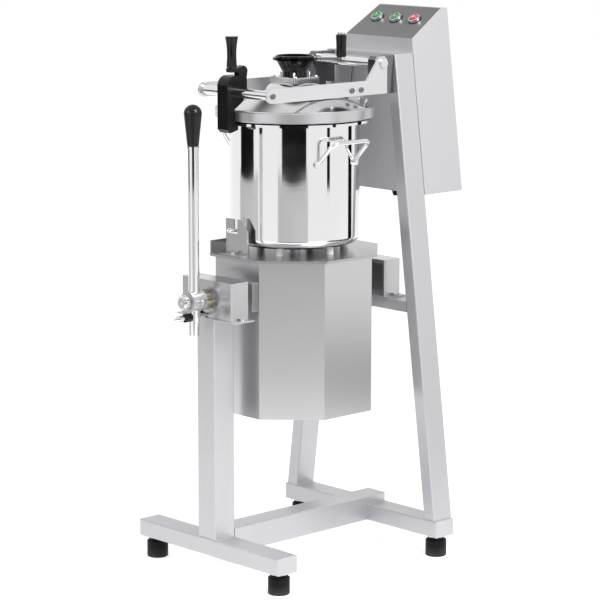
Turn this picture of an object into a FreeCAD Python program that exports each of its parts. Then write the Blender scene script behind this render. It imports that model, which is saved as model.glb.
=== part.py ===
# Floor-standing bowl cutter with a tilting bowl.
# A tube frame carries an octagonal motor housing on two trunnions.
# The bowl stands on the housing, and a hinged lid on two arms closes it.
# X runs to the operator's right, Y from the operator to the rear frame, Z up from the floor.
# The origin is on the floor, in the middle of the machine's outline; all sizes are in mm.

import FreeCAD, Part
import math
import os
import re
import Sketcher

DIMENSIONS = [
    # Where the bowl's axis stands in the outline
    ("bowl_axis_y", -16.25),
    # Frame of square and flat tube
    ("tube", 60), ("tube_low", 40), ("tube_round", 3),
    ("pad_r", 25), ("pad_tall", 50), ("pad_inset", 28),
    ("front_foot_in", 20), ("front_room", 54), ("rear_room", 48.5),
    ("rear_foot_half", 261), ("leg_over", 2), ("leg_top_half", 115), ("leg_wide", 34),
    ("crossbar_z", 580), ("crossbar_tall", 25), ("rail_tall", 24),
    # Trunnion bearings
    ("trunnion_z", 650), ("trunnion_r", 15), ("running_gap", 0.05), ("bush_wall", 9),
    ("bearing_half", 85), ("bearing_deep", 52), ("bearing_tall", 87), ("bearing_sheet", 3),
    ("base_half", 100), ("base_thick", 3), ("bolt_r", 5.5), ("bolt_tall", 5), ("bolt_edge", 7),
    ("flange_half", 62), ("flange_tall", 66), ("flange_thick", 10),
    # Index holes in the front bearing box
    ("index_r", 36), ("index_pin_r", 5), ("index_hole_gap", 0.6), ("tilt_middle", 14), ("tilt_limit", 28),
    # Motor housing and deck
    ("housing_in", 13), ("housing_bottom", 368), ("housing_top", 731.5), ("sheet", 2),
    ("deck_out", 42), ("deck_thick", 6), ("vent_long", 90), ("vent_wide", 8), ("vent_pitch", 22),
    ("motor_r", 88), ("motor_bottom", 425), ("motor_flange_r", 115), ("motor_flange_tall", 16),
    # Bowl, which stands on pads on the deck
    ("bowl_r", 151), ("bowl_rest", 17.5), ("bowl_tall", 288), ("bowl_wall", 2), ("bowl_round", 20),
    ("rim_out", 25), ("rim_tall", 6), ("column_r", 24), ("column_tall", 95), ("column_wall", 2.5),
    ("pad_count", 6), ("bowl_pad_r", 9), ("bowl_pad_in", 33), ("seat_gap", 0.3),
    ("handle_rod_r", 5), ("handle_half", 57), ("handle_foot_down", 93), ("handle_proud", 39),
    ("handle_top_down", 41), ("handle_bend", 16),
    ("lock_pin_r", 4), ("lock_pin_up", 36), ("lock_pin_angle", 15), ("lock_turn", 8), ("lock_slot", 11),
    ("catch_out", 12), ("catch_sheet", 3), ("catch_left", 54), ("catch_right", 20), ("catch_up", 65),
    ("catch_foot", 24), ("tab_tall", 30), ("tab_long", 50), ("tab_x", 82), ("tab_out", 39),
    # Knives
    ("shaft_r", 12.5), ("shaft_bottom", 640), ("hub_gap", 1), ("knife_hub_r", 31), ("knife_hub_up", 7),
    ("knife_hub_over", 34), ("knife_gap", 8), ("knife_thick", 3), ("knife_root", 26),
    ("knife_low_up", 6), ("knife_high_up", 44), ("knife_edge_r", 110), ("knife_back_r", 150),
    # Lever at the front
    ("lever_out", 63), ("lever_r", 12.5), ("lever_bottom", 572), ("lever_top", 1002),
    ("lever_hub_r", 24), ("lever_hub_long", 40), ("grip_tall", 93), ("grip_r", 20.5), ("grip_neck_r", 13),
    ("knob_r", 16), ("knob_long", 18), ("screw_r", 6.5), ("screw_long", 12),
    ("sleeve_r", 10), ("sleeve_long", 16), ("pin_travel", 8), ("pin_parked", 0.5), ("pull_r", 8),
    ("pull_long", 20),
    # Lid
    ("lid_over", 8), ("lid_gap", 4), ("lid_band_tall", 22), ("lid_sheet", 2), ("lid_seat_in", 13),
    ("dome_in", 8), ("dome_foot_up", 25), ("dome_knee_r", 70), ("dome_knee_up", 61),
    ("dome_step", 51), ("dome_middle_up", 44.5), ("dome_flat_r", 48), ("dome_tall", 78),
    ("dome_bend", 34),
    ("gasket_lip", 1), ("gasket_wide", 10), ("gasket_gap", 0.8),
    ("block_x", 90), ("block_y", 80), ("block_tall", 14), ("block_round", 8),
    ("stud_r", 7), ("stud_tall", 26), ("stud_x", 40), ("stud_y", 74),
    # Lid arms and their hinge
    ("arm_x", 112), ("arm_thick", 6), ("arm_over", 65), ("arm_tall", 33), ("arm_short", 7),
    ("pivot_out", 41.5), ("pivot_up", 53.5), ("pivot_r", 12.5), ("pivot_pin_r", 8),
    ("arm_past", 13), ("arm_up", 16), ("ramp_start", 52), ("ramp_end", 20),
    ("cross_r", 11), ("arm_bolt_one", 69), ("arm_bolt_two", 98), ("arm_bolt_r", 6), ("arm_bolt_tall", 4),
    ("block_in", 88), ("hinge_down", 71.5), ("hinge_up", 16.5), ("block_side_gap", 0.5),
    ("bracket_long", 36), ("bracket_sheet", 3), ("bracket_foot", 22),
    # Latch on the cross tube
    ("latch_left", 32), ("latch_right", 3), ("latch_out", 25), ("latch_under", 25),
    ("latch_back", 27), ("latch_over", 39), ("latch_nose_gap", 1.5), ("latch_band_gap", 4),
    ("latch_grip_out", 13), ("latch_grip_tall", 72), ("latch_neck_tall", 17),
    # Funnel, crank and wiper
    ("funnel_r", 45), ("funnel_tall", 48), ("funnel_rim", 10), ("neck_r", 29), ("neck_tall", 12),
    ("funnel_wall", 4), ("tube_bore", 20), ("tube_out", 25), ("tube_up", 9),
    ("crank_reach", 107), ("crank_turned", 47), ("crank_wide", 20), ("crank_thick", 6), ("crank_ring", 6),
    ("crank_pin_r", 5), ("crank_grip_r", 13), ("crank_grip_tall", 52), ("wiper_reach", 72),
    ("wiper_down", 43), ("wiper_thick", 4), ("wiper_tall", 18),
    # Control box
    ("box_tall", 364.5), ("panel_over", 33.5), ("panel_deep", 134.5), ("panel_rise", 66),
    ("box_deep", 156.5), ("box_sheet", 2), ("bezel_r", 15), ("bezel_tall", 8), ("cap_r", 10.5),
    ("cap_gap", 0.3), ("cap_proud", 2), ("button_travel", 4), ("button_pitch", 62), ("button_up", 70),
    ("gland_r", 12), ("gland_tall", 22), ("gland_bore", 5),
    ("contactor_wide", 120), ("contactor_deep", 60), ("contactor_tall", 100), ("contactor_up", 60),
]

doc = FreeCAD.newDocument("bowl_cutter")
sheet = doc.addObject("Spreadsheet::Sheet", "sizes")
for number, (alias, value) in enumerate(DIMENSIONS, start=1):
    sheet.set(f"A{number}", alias)
    sheet.set(f"B{number}", str(value))
    sheet.setAlias(f"B{number}", alias)
doc.recompute()

WORDS = {alias for alias, value in DIMENSIONS}
# Lengths that follow from others. Each may use a word that comes further down.
DERIVED = {
    # Half width of the rear frame at a height is a straight line from the foot to the leg's top.
    "lean": "((rear_foot_half - leg_top_half) / (leg_top - pad_tall))",
    "panel_slope": "atan(panel_rise / (panel_back - rear_y - tube / 2))",
    "box_bottom": "(panel_low - box_tall)",
    "panel_high": "(panel_low + panel_rise)",
    "panel_low": "(leg_top + panel_over)",
    "leg_top": "(block_high + leg_over)",
    "panel_back": "(rear_y + panel_deep)",
    "box_rear": "(rear_y + box_deep)",
    "lever_y": "(front_y + lever_out)",
    "front_foot_long": "(2 * (rear_foot_half - front_foot_in))",
    # The hinge stands on the rear legs, and the arms reach from it over the lid.
    "block_low": "(pivot_z - hinge_down)",
    "block_high": "(pivot_z + hinge_up)",
    "arm_head": "(pivot_z + arm_up)",
    "arm_rear": "(pivot_y + arm_past)",
    "arm_ramp_low": "(pivot_y - ramp_start)",
    "arm_ramp_high": "(pivot_y - ramp_end)",
    "pivot_y": "(rear_y - tube / 2 - pivot_out)",
    "pivot_z": "(arm_z + pivot_up)",
    "latch_grip_z": "(latch_top + latch_neck_tall)",
    "latch_grip_y": "(arm_front + latch_grip_out)",
    "latch_top": "(arm_z + latch_over)",
    "latch_bottom": "(lid_bottom - latch_under)",
    "latch_rear": "(arm_front - latch_back)",
    "latch_front": "(lid_r + latch_out)",
    "arm_front": "(lid_r - arm_short)",
    "arm_z": "(lid_bottom + arm_over)",
    # The lid covers the bowl's rim, and the funnel goes through its dome.
    "funnel_top": "(dome_top + block_tall + funnel_tall)",
    "tube_bottom": "(lid_bottom + tube_up)",
    "wiper_bottom": "(lid_bottom - wiper_down)",
    "dome_top": "(lid_bottom + dome_tall)",
    "dome_knee_z": "(lid_bottom + dome_knee_up)",
    "dome_middle_z": "(lid_bottom + dome_middle_up)",
    "dome_foot_z": "(lid_bottom + dome_foot_up)",
    "dome_middle_r": "(dome_foot_r - dome_step)",
    "dome_foot_r": "(lid_r - dome_in)",
    "gasket_in": "(gasket_out - gasket_wide)",
    "gasket_out": "(bowl_r - gasket_lip)",
    "lid_seat_r": "(bowl_r - lid_seat_in)",
    "lid_r": "(rim_r + lid_over)",
    "lid_bottom": "(bowl_top + lid_gap)",
    # The bowl stands on the deck, and its fittings and the knives follow its wall and floor.
    "handle_out": "(bowl_r + handle_proud)",
    "handle_foot_z": "(bowl_top - handle_foot_down)",
    "handle_top_z": "(bowl_top - handle_top_down)",
    "knife_reach": "(bowl_r - knife_gap)",
    "knife_low_z": "(knife_hub_z + knife_low_up)",
    "knife_high_z": "(knife_hub_z + knife_high_up)",
    "knife_hub_z": "(bowl_bottom + knife_hub_up)",
    "knife_hub_top": "(column_top + knife_hub_over)",
    "column_top": "(bowl_bottom + column_tall)",
    "rim_r": "(bowl_r + rim_out)",
    "bowl_pad_ring": "(bowl_r - bowl_pad_in)",
    "lock_pin_z": "(bowl_bottom + lock_pin_up)",
    "catch_top": "(bowl_bottom + catch_up)",
    "catch_y": "(bowl_r + catch_out)",
    "tab_y": "(bowl_r + tab_out)",
    "bowl_top": "(bowl_bottom + bowl_tall)",
    "bowl_bottom": "(deck_top + bowl_rest)",
    "deck_top": "(housing_top + deck_thick)",
    "housing_across": "(deck_across - 2 * housing_in)",
    "front_y": "(deck_across / 2 + front_room)",
    "rear_y": "(deck_across / 2 + rear_room)",
    "deck_across": "(2 * (bowl_r + deck_out))",
    "base_z": "(crossbar_z + crossbar_tall)",
    "bearing_z": "(crossbar_z + crossbar_tall + base_thick)",
}
probe = doc.addObject("App::FeaturePython", "probe")
probe.addProperty("App::PropertyFloat", "reading")
pieces = []


def formula(text):
    """Write the derived lengths out and point each word at its cell of the sheet."""
    text = str(text)
    for word, meaning in DERIVED.items():
        text = re.sub(rf"\b{word}\b", meaning, text)
    return re.sub(r"[a-z_]+", lambda found: "sizes." + found[0] if found[0] in WORDS else found[0], text)


def measure(text):
    """Read what a formula comes to with the present sizes."""
    probe.setExpression("reading", formula(text))
    probe.recompute()
    return probe.reading


def place(thing, x="0", y="0", z="0", turn=None):
    """Bind a placement to the sheet; y counts from the bowl's axis."""
    if turn is not None:
        thing.Placement = FreeCAD.Placement(FreeCAD.Vector(), turn)
    thing.setExpression("Placement.Base.x", formula(x))
    thing.setExpression("Placement.Base.y", formula(f"bowl_axis_y + ({y})"))
    thing.setExpression("Placement.Base.z", formula(z))
    return thing


def keep(thing):
    """Count an object as a piece of the machine."""
    thing.Label = thing.Name
    pieces.append(thing)
    return thing


ALONG = {
    "x": FreeCAD.Rotation(FreeCAD.Vector(0, 1, 0), 90),
    "y": FreeCAD.Rotation(FreeCAD.Vector(1, 0, 0), -90),
    "z": FreeCAD.Rotation(),
}


def block(name, low, high):
    """A box between two corners given as formulas."""
    thing = doc.addObject("Part::Box", name)
    for side, start, end in zip(("Length", "Width", "Height"), low, high):
        thing.setExpression(side, formula(f"({end}) - ({start})"))
    return place(thing, *low)


def rod(name, radius, start, end, x="0", y="0", z="0", along="z", turn=None):
    """A cylinder along an axis, from start to end on that axis."""
    thing = doc.addObject("Part::Cylinder", name)
    thing.setExpression("Radius", formula(radius))
    thing.setExpression("Height", formula(f"({end}) - ({start})"))
    spot = {"x": x, "y": y, "z": z}
    spot[along] = start
    return place(thing, spot["x"], spot["y"], spot["z"], turn or ALONG[along])


def taper(name, low_radius, high_radius, start, end, x="0", y="0", z="0", along="z"):
    """A cone along an axis, from start to end on that axis."""
    thing = doc.addObject("Part::Cone", name)
    thing.setExpression("Radius1", formula(low_radius))
    thing.setExpression("Radius2", formula(high_radius))
    thing.setExpression("Height", formula(f"({end}) - ({start})"))
    spot = {"x": x, "y": y, "z": z}
    spot[along] = start
    return place(thing, spot["x"], spot["y"], spot["z"], ALONG[along])


def fuse(name, parts):
    """One solid out of several that meet."""
    thing = doc.addObject("Part::MultiFuse", name)
    thing.Shapes = parts
    thing.Refine = True
    return thing


def group(name, parts):
    """Separate solids that share one name."""
    thing = doc.addObject("Part::Compound", name)
    thing.Links = parts
    return thing


def cut(name, base, tools):
    """Take the tools away from the base."""
    tool = tools[0] if len(tools) == 1 else fuse(name + "_tool", tools)
    thing = doc.addObject("Part::Cut", name)
    thing.Base = base
    thing.Tool = tool
    thing.Refine = True
    return thing


def round_edges(name, base, radius, chosen):
    """Fillet the edges that the test picks."""
    doc.recompute()
    size = measure(radius)
    picked = [number for number, edge in enumerate(base.Shape.Edges, start=1) if chosen(edge)]
    thing = doc.addObject("Part::Fillet", name)
    thing.Base = base
    thing.Edges = [(number, size, size) for number in picked]
    return thing


def runs_along(direction):
    """Test for straight edges that lie along a direction."""
    def test(edge):
        if not isinstance(edge.Curve, Part.Line):
            return False
        return abs(abs(edge.Curve.Direction.dot(direction)) - 1) < 1e-6
    return test


X_AXIS, Y_AXIS, Z_AXIS = (FreeCAD.Vector(*way) for way in ((1, 0, 0), (0, 1, 0), (0, 0, 1)))


def bar(name, low, high, way):
    """A tube of the frame: a block with its long edges rounded."""
    return keep(round_edges(name, block(name + "_blank", low, high), "tube_round", runs_along(way)))


def draw(body, name, plane, loops, circles=()):
    """Draw closed outlines in a body. A corner is (x, y), or (x, y, radius) for an arc to the next one."""
    sketch = body.newObject("Sketcher::SketchObject", name)
    origin = body.Origin.OriginFeatures
    sketch.AttachmentSupport = (next(item for item in origin if item.Role == plane), [""])
    sketch.MapMode = "FlatFace"
    for corners in loops:
        places = [FreeCAD.Vector(measure(corner[0]), measure(corner[1]), 0) for corner in corners]
        first = sketch.GeometryCount
        for number, corner in enumerate(corners):
            start = places[number]
            end = places[(number + 1) % len(places)]
            if len(corner) == 2:
                sketch.addGeometry(Part.LineSegment(start, end))
                continue
            radius = measure(corner[2])
            chord = end - start
            rise = abs(radius) - math.sqrt(max(radius ** 2 - (chord.Length / 2) ** 2, 0))
            side = FreeCAD.Vector(-chord.y, chord.x, 0).normalize() * math.copysign(rise, radius)
            sketch.addGeometry(Part.Arc(start, (start + end) / 2 - side, end))
        for number, corner in enumerate(corners):
            curve = first + number
            ends = curve_ends(sketch, curve, places[number])
            for word, text in (("DistanceX", corner[0]), ("DistanceY", corner[1])):
                value = measure(text)
                spot = sketch.addConstraint(Sketcher.Constraint(word, -1, 1, curve, ends[0], value))
                sketch.setExpression(f"Constraints[{spot}]", formula(text))
            if len(corner) == 3:
                turn = Sketcher.Constraint("Radius", curve, abs(measure(corner[2])))
                spot = sketch.addConstraint(turn)
                sketch.setExpression(f"Constraints[{spot}]", formula(f"abs({corner[2]})"))
            after = first + (number + 1) % len(corners)
            next_ends = curve_ends(sketch, after, places[(number + 1) % len(places)])
            sketch.addConstraint(Sketcher.Constraint("Coincident", curve, ends[1], after, next_ends[0]))
    for x, y, radius in circles:
        centre = FreeCAD.Vector(measure(x), measure(y), 0)
        curve = sketch.addGeometry(Part.Circle(centre, Z_AXIS, measure(radius)))
        for word, text in (("DistanceX", x), ("DistanceY", y)):
            spot = sketch.addConstraint(Sketcher.Constraint(word, -1, 1, curve, 3, measure(text)))
            sketch.setExpression(f"Constraints[{spot}]", formula(text))
        spot = sketch.addConstraint(Sketcher.Constraint("Radius", curve, measure(radius)))
        sketch.setExpression(f"Constraints[{spot}]", formula(radius))
    return sketch


def curve_ends(sketch, curve, start):
    """Which end of a curve lies at its starting corner: an arc may be stored the other way round."""
    if (sketch.getPoint(curve, 1) - start).Length < (sketch.getPoint(curve, 2) - start).Length:
        return 1, 2
    return 2, 1


def pad(name, plane, loops, depth, x="0", y="0", z="0", circles=()):
    """Extrude outlines towards +X, +Y or +Z, away from their plane."""
    body = doc.addObject("PartDesign::Body", name)
    sketch = draw(body, name + "_outline", plane, loops, circles)
    feature = body.newObject("PartDesign::Pad", name + "_pad")
    feature.Profile = sketch
    feature.setExpression("Length", formula(depth))
    feature.Reversed = plane == "XZ_Plane"
    return place(body, x, y, z)


def turned(name, corners, x="0", y="0", z="0", turn=None):
    """Revolve an outline of radius and height about the upright axis."""
    body = doc.addObject("PartDesign::Body", name)
    sketch = draw(body, name + "_outline", "XZ_Plane", [corners])
    feature = body.newObject("PartDesign::Revolution", name + "_turn")
    feature.Profile = sketch
    feature.ReferenceAxis = (sketch, ["V_Axis"])
    feature.Angle = 360
    return place(body, x, y, z, turn)


def bent_rod(name, points, bend, radius):
    """A round rod through points given as formulas, with its corners bent to a radius."""
    shift = FreeCAD.Vector(0, measure("bowl_axis_y"), 0)
    spots = [FreeCAD.Vector(*(measure(text) for text in point)) + shift for point in points]
    edges = []
    start = spots[0]
    for before, corner, after in zip(spots, spots[1:], spots[2:]):
        back = (before - corner).normalize()
        ahead = (after - corner).normalize()
        half = back.getAngle(ahead) / 2
        reach = measure(bend) / math.tan(half)
        middle = corner + (back + ahead).normalize() * (measure(bend) / math.sin(half) - measure(bend))
        edges.append(Part.LineSegment(start, corner + back * reach).toShape())
        edges.append(Part.Arc(corner + back * reach, middle, corner + ahead * reach).toShape())
        start = corner + ahead * reach
    edges.append(Part.LineSegment(start, spots[-1]).toShape())
    path = Part.Wire(edges)
    ring = Part.Wire(Part.Circle(spots[0], spots[1] - spots[0], measure(radius)).toShape())
    thing = doc.addObject("Part::Feature", name)
    thing.Shape = path.makePipeShell([ring], True, False)
    return thing


def octagon(across):
    """Corners of a regular octagon with flats towards X and Y."""
    half = f"({across}) / 2"
    short = f"({across}) / 2 * tan(22.5)"
    ring = []
    for first, second in ((half, short), (short, half)):
        ring.append((first, second))
    ring += [(f"-({x})", y) for x, y in reversed(ring)]
    ring += [(f"-({x})" if not x.startswith("-") else x[1:], f"-({y})") for x, y in ring]
    return ring


def frame_half(height):
    """Outer half width of the rear frame at a height."""
    return f"(rear_foot_half - (({height}) - pad_tall) * lean)"


# Frame

rear_front = "(rear_y - tube / 2)"
rear_back = "(rear_y + tube / 2)"
low_top = "pad_tall + tube_low"
bar("front_foot_tube",
    ("-front_foot_long / 2", "-front_y - tube / 2", "pad_tall"),
    ("front_foot_long / 2", "-front_y + tube / 2", low_top), X_AXIS)
bar("front_post",
    ("-tube / 2", "-front_y - tube / 2", low_top),
    ("tube / 2", "-front_y + tube / 2", "base_z"), Z_AXIS)
bar("spine_beam",
    ("-tube / 2", "-front_y + tube / 2", "pad_tall"),
    ("tube / 2", rear_back, "pad_tall + tube"), Y_AXIS)
rear_tubes = []
for side, low_x, high_x in (("left", "-rear_foot_half", "-tube / 2"), ("right", "tube / 2", "rear_foot_half")):
    blank = block(f"rear_foot_{side}_blank", (low_x, rear_front, "pad_tall"), (high_x, rear_back, low_top))
    rear_tubes.append(round_edges(f"rear_foot_{side}", blank, "tube_round", runs_along(X_AXIS)))
keep(group("rear_foot_tubes", rear_tubes))

for side, sign in (("left", "-"), ("right", "")):
    foot, head = frame_half(low_top), frame_half("leg_top")
    outline = [(f"{sign}{foot}", low_top), (f"{sign}{head}", "leg_top"),
               (f"{sign}({head} - leg_wide)", "leg_top"), (f"{sign}({foot} - leg_wide)", low_top)]
    leg = pad(f"rear_leg_{side}_blank", "XZ_Plane", [outline], "tube", y=rear_front)
    keep(round_edges(f"rear_leg_{side}", leg, "tube_round",
                     lambda edge: isinstance(edge.Curve, Part.Line) and abs(edge.Curve.Direction.z) > 0.9))

for name, low, high in (("rear_crossbar", "crossbar_z", "base_z"), ("top_rail", "leg_top - rail_tall", "leg_top")):
    inner = [f"({frame_half(level)} - leg_wide)" for level in (low, high)]
    outline = [(f"-{inner[0]}", low), (inner[0], low), (inner[1], high), (f"-{inner[1]}", high)]
    keep(pad(name, "XZ_Plane", [outline], "tube", y=rear_front))

rubber = []
for number, (x, y) in enumerate((("front_foot_long / 2 - pad_inset", "-front_y"),
                                 ("-(front_foot_long / 2 - pad_inset)", "-front_y"),
                                 ("rear_foot_half - pad_inset", "rear_y"),
                                 ("-(rear_foot_half - pad_inset)", "rear_y"))):
    profile = [("0", "0"), ("pad_r - 2", "0"), ("pad_r", "2"), ("pad_r", "pad_tall - 12"),
               ("pad_r - 5", "pad_tall - 8"), ("pad_r - 5", "pad_tall"), ("0", "pad_tall")]
    rubber.append(turned(f"rubber_foot_{number + 1}", profile, x, y))
keep(group("rubber_feet", rubber))

# Trunnion bearings on the post and on the crossbar

BEARINGS = (("front", "(-front_y - bearing_deep / 2)", "(-front_y)"), ("rear", rear_front, "rear_y"))
bases, bushes, bolts = [], [], []
for end, near, middle in BEARINGS:
    far = f"({near} + bearing_deep)"
    plate = [("-base_half", "-tube / 2"), ("base_half", "-tube / 2"),
             ("base_half", "tube / 2"), ("-base_half", "tube / 2")]
    bases.append(pad(f"bearing_base_{end}", "XY_Plane", [plate], "base_thick", y=middle, z="base_z"))
    shell = block(f"bearing_shell_{end}", ("-bearing_half", near, "bearing_z"),
                  ("bearing_half", far, "bearing_z + bearing_tall"))
    hollow = block(f"bearing_hollow_{end}",
                   ("-bearing_half + bearing_sheet", f"{near} + bearing_sheet", "bearing_z"),
                   ("bearing_half - bearing_sheet", f"{far} - bearing_sheet",
                    "bearing_z + bearing_tall - bearing_sheet"))
    rounded = round_edges(f"bearing_round_{end}", shell, "bearing_sheet", runs_along(Z_AXIS))
    tools = [hollow, rod(f"bearing_bore_{end}", "trunnion_r + running_gap + bush_wall", near, far,
                         z="trunnion_z", along="y")]
    if end == "front":
        for number, angle in enumerate(("0", "tilt_middle", "tilt_limit")):
            tools.append(rod(f"index_hole_{number}", "index_pin_r + index_hole_gap", near,
                             f"{near} + bearing_sheet", x=f"-index_r * sin({angle})",
                             z=f"trunnion_z - index_r * cos({angle})", along="y"))
    keep(cut(f"{end}_bearing_box", rounded, tools))
    bushes.append(cut(f"bush_{end}",
                      rod(f"bush_outside_{end}", "trunnion_r + running_gap + bush_wall", near, far,
                          z="trunnion_z", along="y"),
                      [rod(f"bush_bore_{end}", "trunnion_r + running_gap", near, far,
                           z="trunnion_z", along="y")]))
    for sign in ("", "-"):
        bolts.append(rod(f"base_bolt_{end}_{'right' if not sign else 'left'}", "bolt_r", "bearing_z",
                         "bearing_z + bolt_tall", x=f"{sign}(base_half - bolt_edge)", y=middle))
keep(group("bearing_bases", bases))
keep(group("trunnion_bushes", bushes))
keep(group("base_bolts", bolts))

# Motor housing, which tilts

housing_tall = "housing_top - housing_bottom"
keep(pad("motor_housing", "XY_Plane", [octagon("housing_across"), octagon("housing_across - 2 * sheet")],
         housing_tall, z="housing_bottom"))
floor_blank = pad("housing_floor_blank", "XY_Plane", [octagon("housing_across - 2 * sheet")], "sheet",
                  z="housing_bottom")
vents = []
for row in range(-3, 4):
    y = f"{row} * vent_pitch"
    for sign in ("", "-"):
        middle = f"{sign}(vent_long / 2 + vent_wide)"
        vents.append(block(f"vent_{row + 3}_{'right' if not sign else 'left'}",
                           (f"{middle} - vent_long / 2", f"{y} - vent_wide / 2", "housing_bottom"),
                           (f"{middle} + vent_long / 2", f"{y} + vent_wide / 2", "housing_bottom + sheet")))
keep(cut("housing_floor", floor_blank, vents))
keep(pad("deck_plate", "XY_Plane", [octagon("deck_across")], "deck_thick", z="housing_top",
         circles=[("0", "0", "shaft_r + hub_gap")]))
motor_blank = fuse("motor_blank", [
    rod("motor_body", "motor_r", "motor_bottom", "housing_top - motor_flange_tall"),
    rod("motor_flange", "motor_flange_r", "housing_top - motor_flange_tall", "housing_top"),
    taper("motor_cowl", "motor_r - 14", "motor_r", "motor_bottom - 20", "motor_bottom")])
keep(cut("motor", motor_blank, [rod("motor_bore", "shaft_r + running_gap", "shaft_bottom - 1", "housing_top")]))

plates, shafts = [], []
for end, sign in (("front", -1), ("rear", 1)):
    near, far = "housing_across / 2", "housing_across / 2 + flange_thick"
    low_y, high_y = (near, far) if sign > 0 else (f"-({far})", f"-({near})")
    plates.append(round_edges(f"flange_{end}", block(f"flange_blank_{end}",
                              ("-flange_half", low_y, "trunnion_z - flange_tall / 2"),
                              ("flange_half", high_y, "trunnion_z + flange_tall / 2")),
                              "tube_round", runs_along(Y_AXIS)))
    reach = f"{rear_front} + bearing_deep" if sign > 0 else "lever_y - lever_r"
    low_y, high_y = (far, reach) if sign > 0 else (f"-({reach})", f"-({far})")
    shafts.append(rod(f"trunnion_{end}", "trunnion_r", low_y, high_y, z="trunnion_z", along="y"))
keep(group("flange_plates", plates))
keep(group("trunnion_shafts", shafts))

# Bayonet catch for the bowl: a sheet bracket whose slot drops, then runs to the left

slot_right = "(-(catch_y * sin(lock_pin_angle - lock_turn)) + lock_slot / 2)"
slot_left = "(-(catch_y * sin(lock_pin_angle)) - lock_slot / 2 - 2)"
slot_top = "(lock_pin_z + lock_slot / 2 - deck_top)"
slot_floor = "(lock_pin_z - lock_slot / 2 - deck_top)"
catch_high = "(catch_top - deck_top)"
catch_outline = [
    ("-catch_left", "0"), ("catch_right", "0"), ("catch_right", f"{catch_high} - 25"),
    ("catch_right - 20", catch_high), (slot_right, catch_high), (slot_right, slot_floor),
    (slot_left, slot_floor), (slot_left, slot_top), (f"({slot_right} - lock_slot)", slot_top),
    (f"({slot_right} - lock_slot)", catch_high), ("-catch_left", catch_high)]
catch_sheet_body = pad("catch_sheet_body", "XZ_Plane", [catch_outline], "catch_sheet",
                       y="-catch_y - catch_sheet", z="deck_top")
catch_foot_body = block("catch_foot_body", ("-catch_left", "-catch_y - catch_foot", "deck_top"),
                        ("catch_right", "-catch_y", "deck_top + catch_sheet"))
catch_bolt = rod("catch_bolt", "bolt_r", "deck_top + catch_sheet", "deck_top + catch_sheet + bolt_tall",
                 x="(catch_right - catch_left) / 2", y="-catch_y - catch_foot / 2 - 2")
catch = fuse("bowl_catch_bracket", [catch_sheet_body, catch_foot_body, catch_bolt])
side_tab = block("side_tab", ("-tab_x", "-tab_y", "deck_top"),
                 ("-tab_x + catch_sheet", "-tab_y + tab_long", "deck_top + tab_tall"))
keep(group("bowl_catch", [catch, side_tab]))

pads = []
for number in range(int(measure("pad_count"))):
    angle = f"{number} * 360 / pad_count"
    pads.append(rod(f"bowl_pad_{number + 1}", "bowl_pad_r", "deck_top", "bowl_bottom - seat_gap",
                    x=f"bowl_pad_ring * cos({angle})", y=f"bowl_pad_ring * sin({angle})"))
keep(group("bowl_pads", pads))

# Lever with its hub, clamp screw, knob, grip and index plunger

hub_back = "(-lever_y + lever_hub_long / 2)"
hub_face = "(-lever_y - lever_hub_long / 2)"
index_z = "(trunnion_z - index_r)"
keep(cut("lever_hub", rod("lever_hub_blank", "lever_hub_r", hub_face, hub_back, z="trunnion_z", along="y"),
         [rod("hub_rod_bore", "lever_r", "trunnion_z - lever_hub_r", "trunnion_z + lever_hub_r", y="-lever_y"),
          rod("hub_shaft_bore", "trunnion_r", "-lever_y", hub_back, z="trunnion_z", along="y")]))
keep(cut("lever_rod", rod("lever_rod_blank", "lever_r", "lever_bottom", "lever_top", y="-lever_y"),
         [rod("plunger_bore", "index_pin_r + running_gap", "-lever_y - lever_r", "-lever_y + lever_r",
              z=index_z, along="y")]))
grip_outline = [("0", "0"), ("grip_neck_r", "0"), ("grip_neck_r + 1", "8"),
                ("grip_r", "grip_tall - grip_r", "grip_r"), ("0", "grip_tall")]
keep(turned("lever_grip", grip_outline, "0", "-lever_y", "lever_top"))
knob = turned("hub_knob", [("0", "0"), ("knob_r - 2", "0"), ("knob_r", "2"), ("knob_r", "knob_long - 4"),
                           ("knob_r - 4", "knob_long"), ("5", "knob_long"), ("4", "knob_long - 3"),
                           ("0", "knob_long - 3")],
              "0", hub_face, "trunnion_z", FreeCAD.Rotation(X_AXIS, 90))
screw = rod("clamp_screw", "screw_r", "lever_hub_r", "lever_hub_r + screw_long", y="-lever_y",
            z="trunnion_z", along="x")
keep(group("hub_fasteners", [knob, screw]))
sleeve_back = "(-lever_y - lever_r)"
sleeve_face = "(-lever_y - lever_r - sleeve_long)"
keep(cut("plunger_sleeve", rod("sleeve_blank", "sleeve_r", sleeve_face, sleeve_back, z=index_z, along="y"),
         [rod("sleeve_bore", "index_pin_r + running_gap", sleeve_face, sleeve_back, z=index_z, along="y"),
          cut("sleeve_seat", block("sleeve_seat_block", ("-sleeve_r", sleeve_back, f"{index_z} - sleeve_r"),
                                   ("sleeve_r", f"{sleeve_back} + 1", f"{index_z} + sleeve_r")),
              [rod("sleeve_seat_rod", "lever_r", f"{index_z} - sleeve_r", f"{index_z} + sleeve_r",
                   y="-lever_y")])]))
pull_back = f"({sleeve_face} - pin_travel - 1)"
pin_tip = "(-front_y - bearing_deep / 2 - pin_parked)"
keep(fuse("plunger_pin", [
    rod("pin_stem", "index_pin_r", pull_back, pin_tip, z=index_z, along="y"),
    rod("pin_pull", "pull_r", f"{pull_back} - pull_long / 2", pull_back, z=index_z, along="y"),
    taper("pin_point", "2", "pull_r", f"{pull_back} - pull_long", f"{pull_back} - pull_long / 2",
          z=index_z, along="y")]))

# Knives on their shaft

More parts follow.
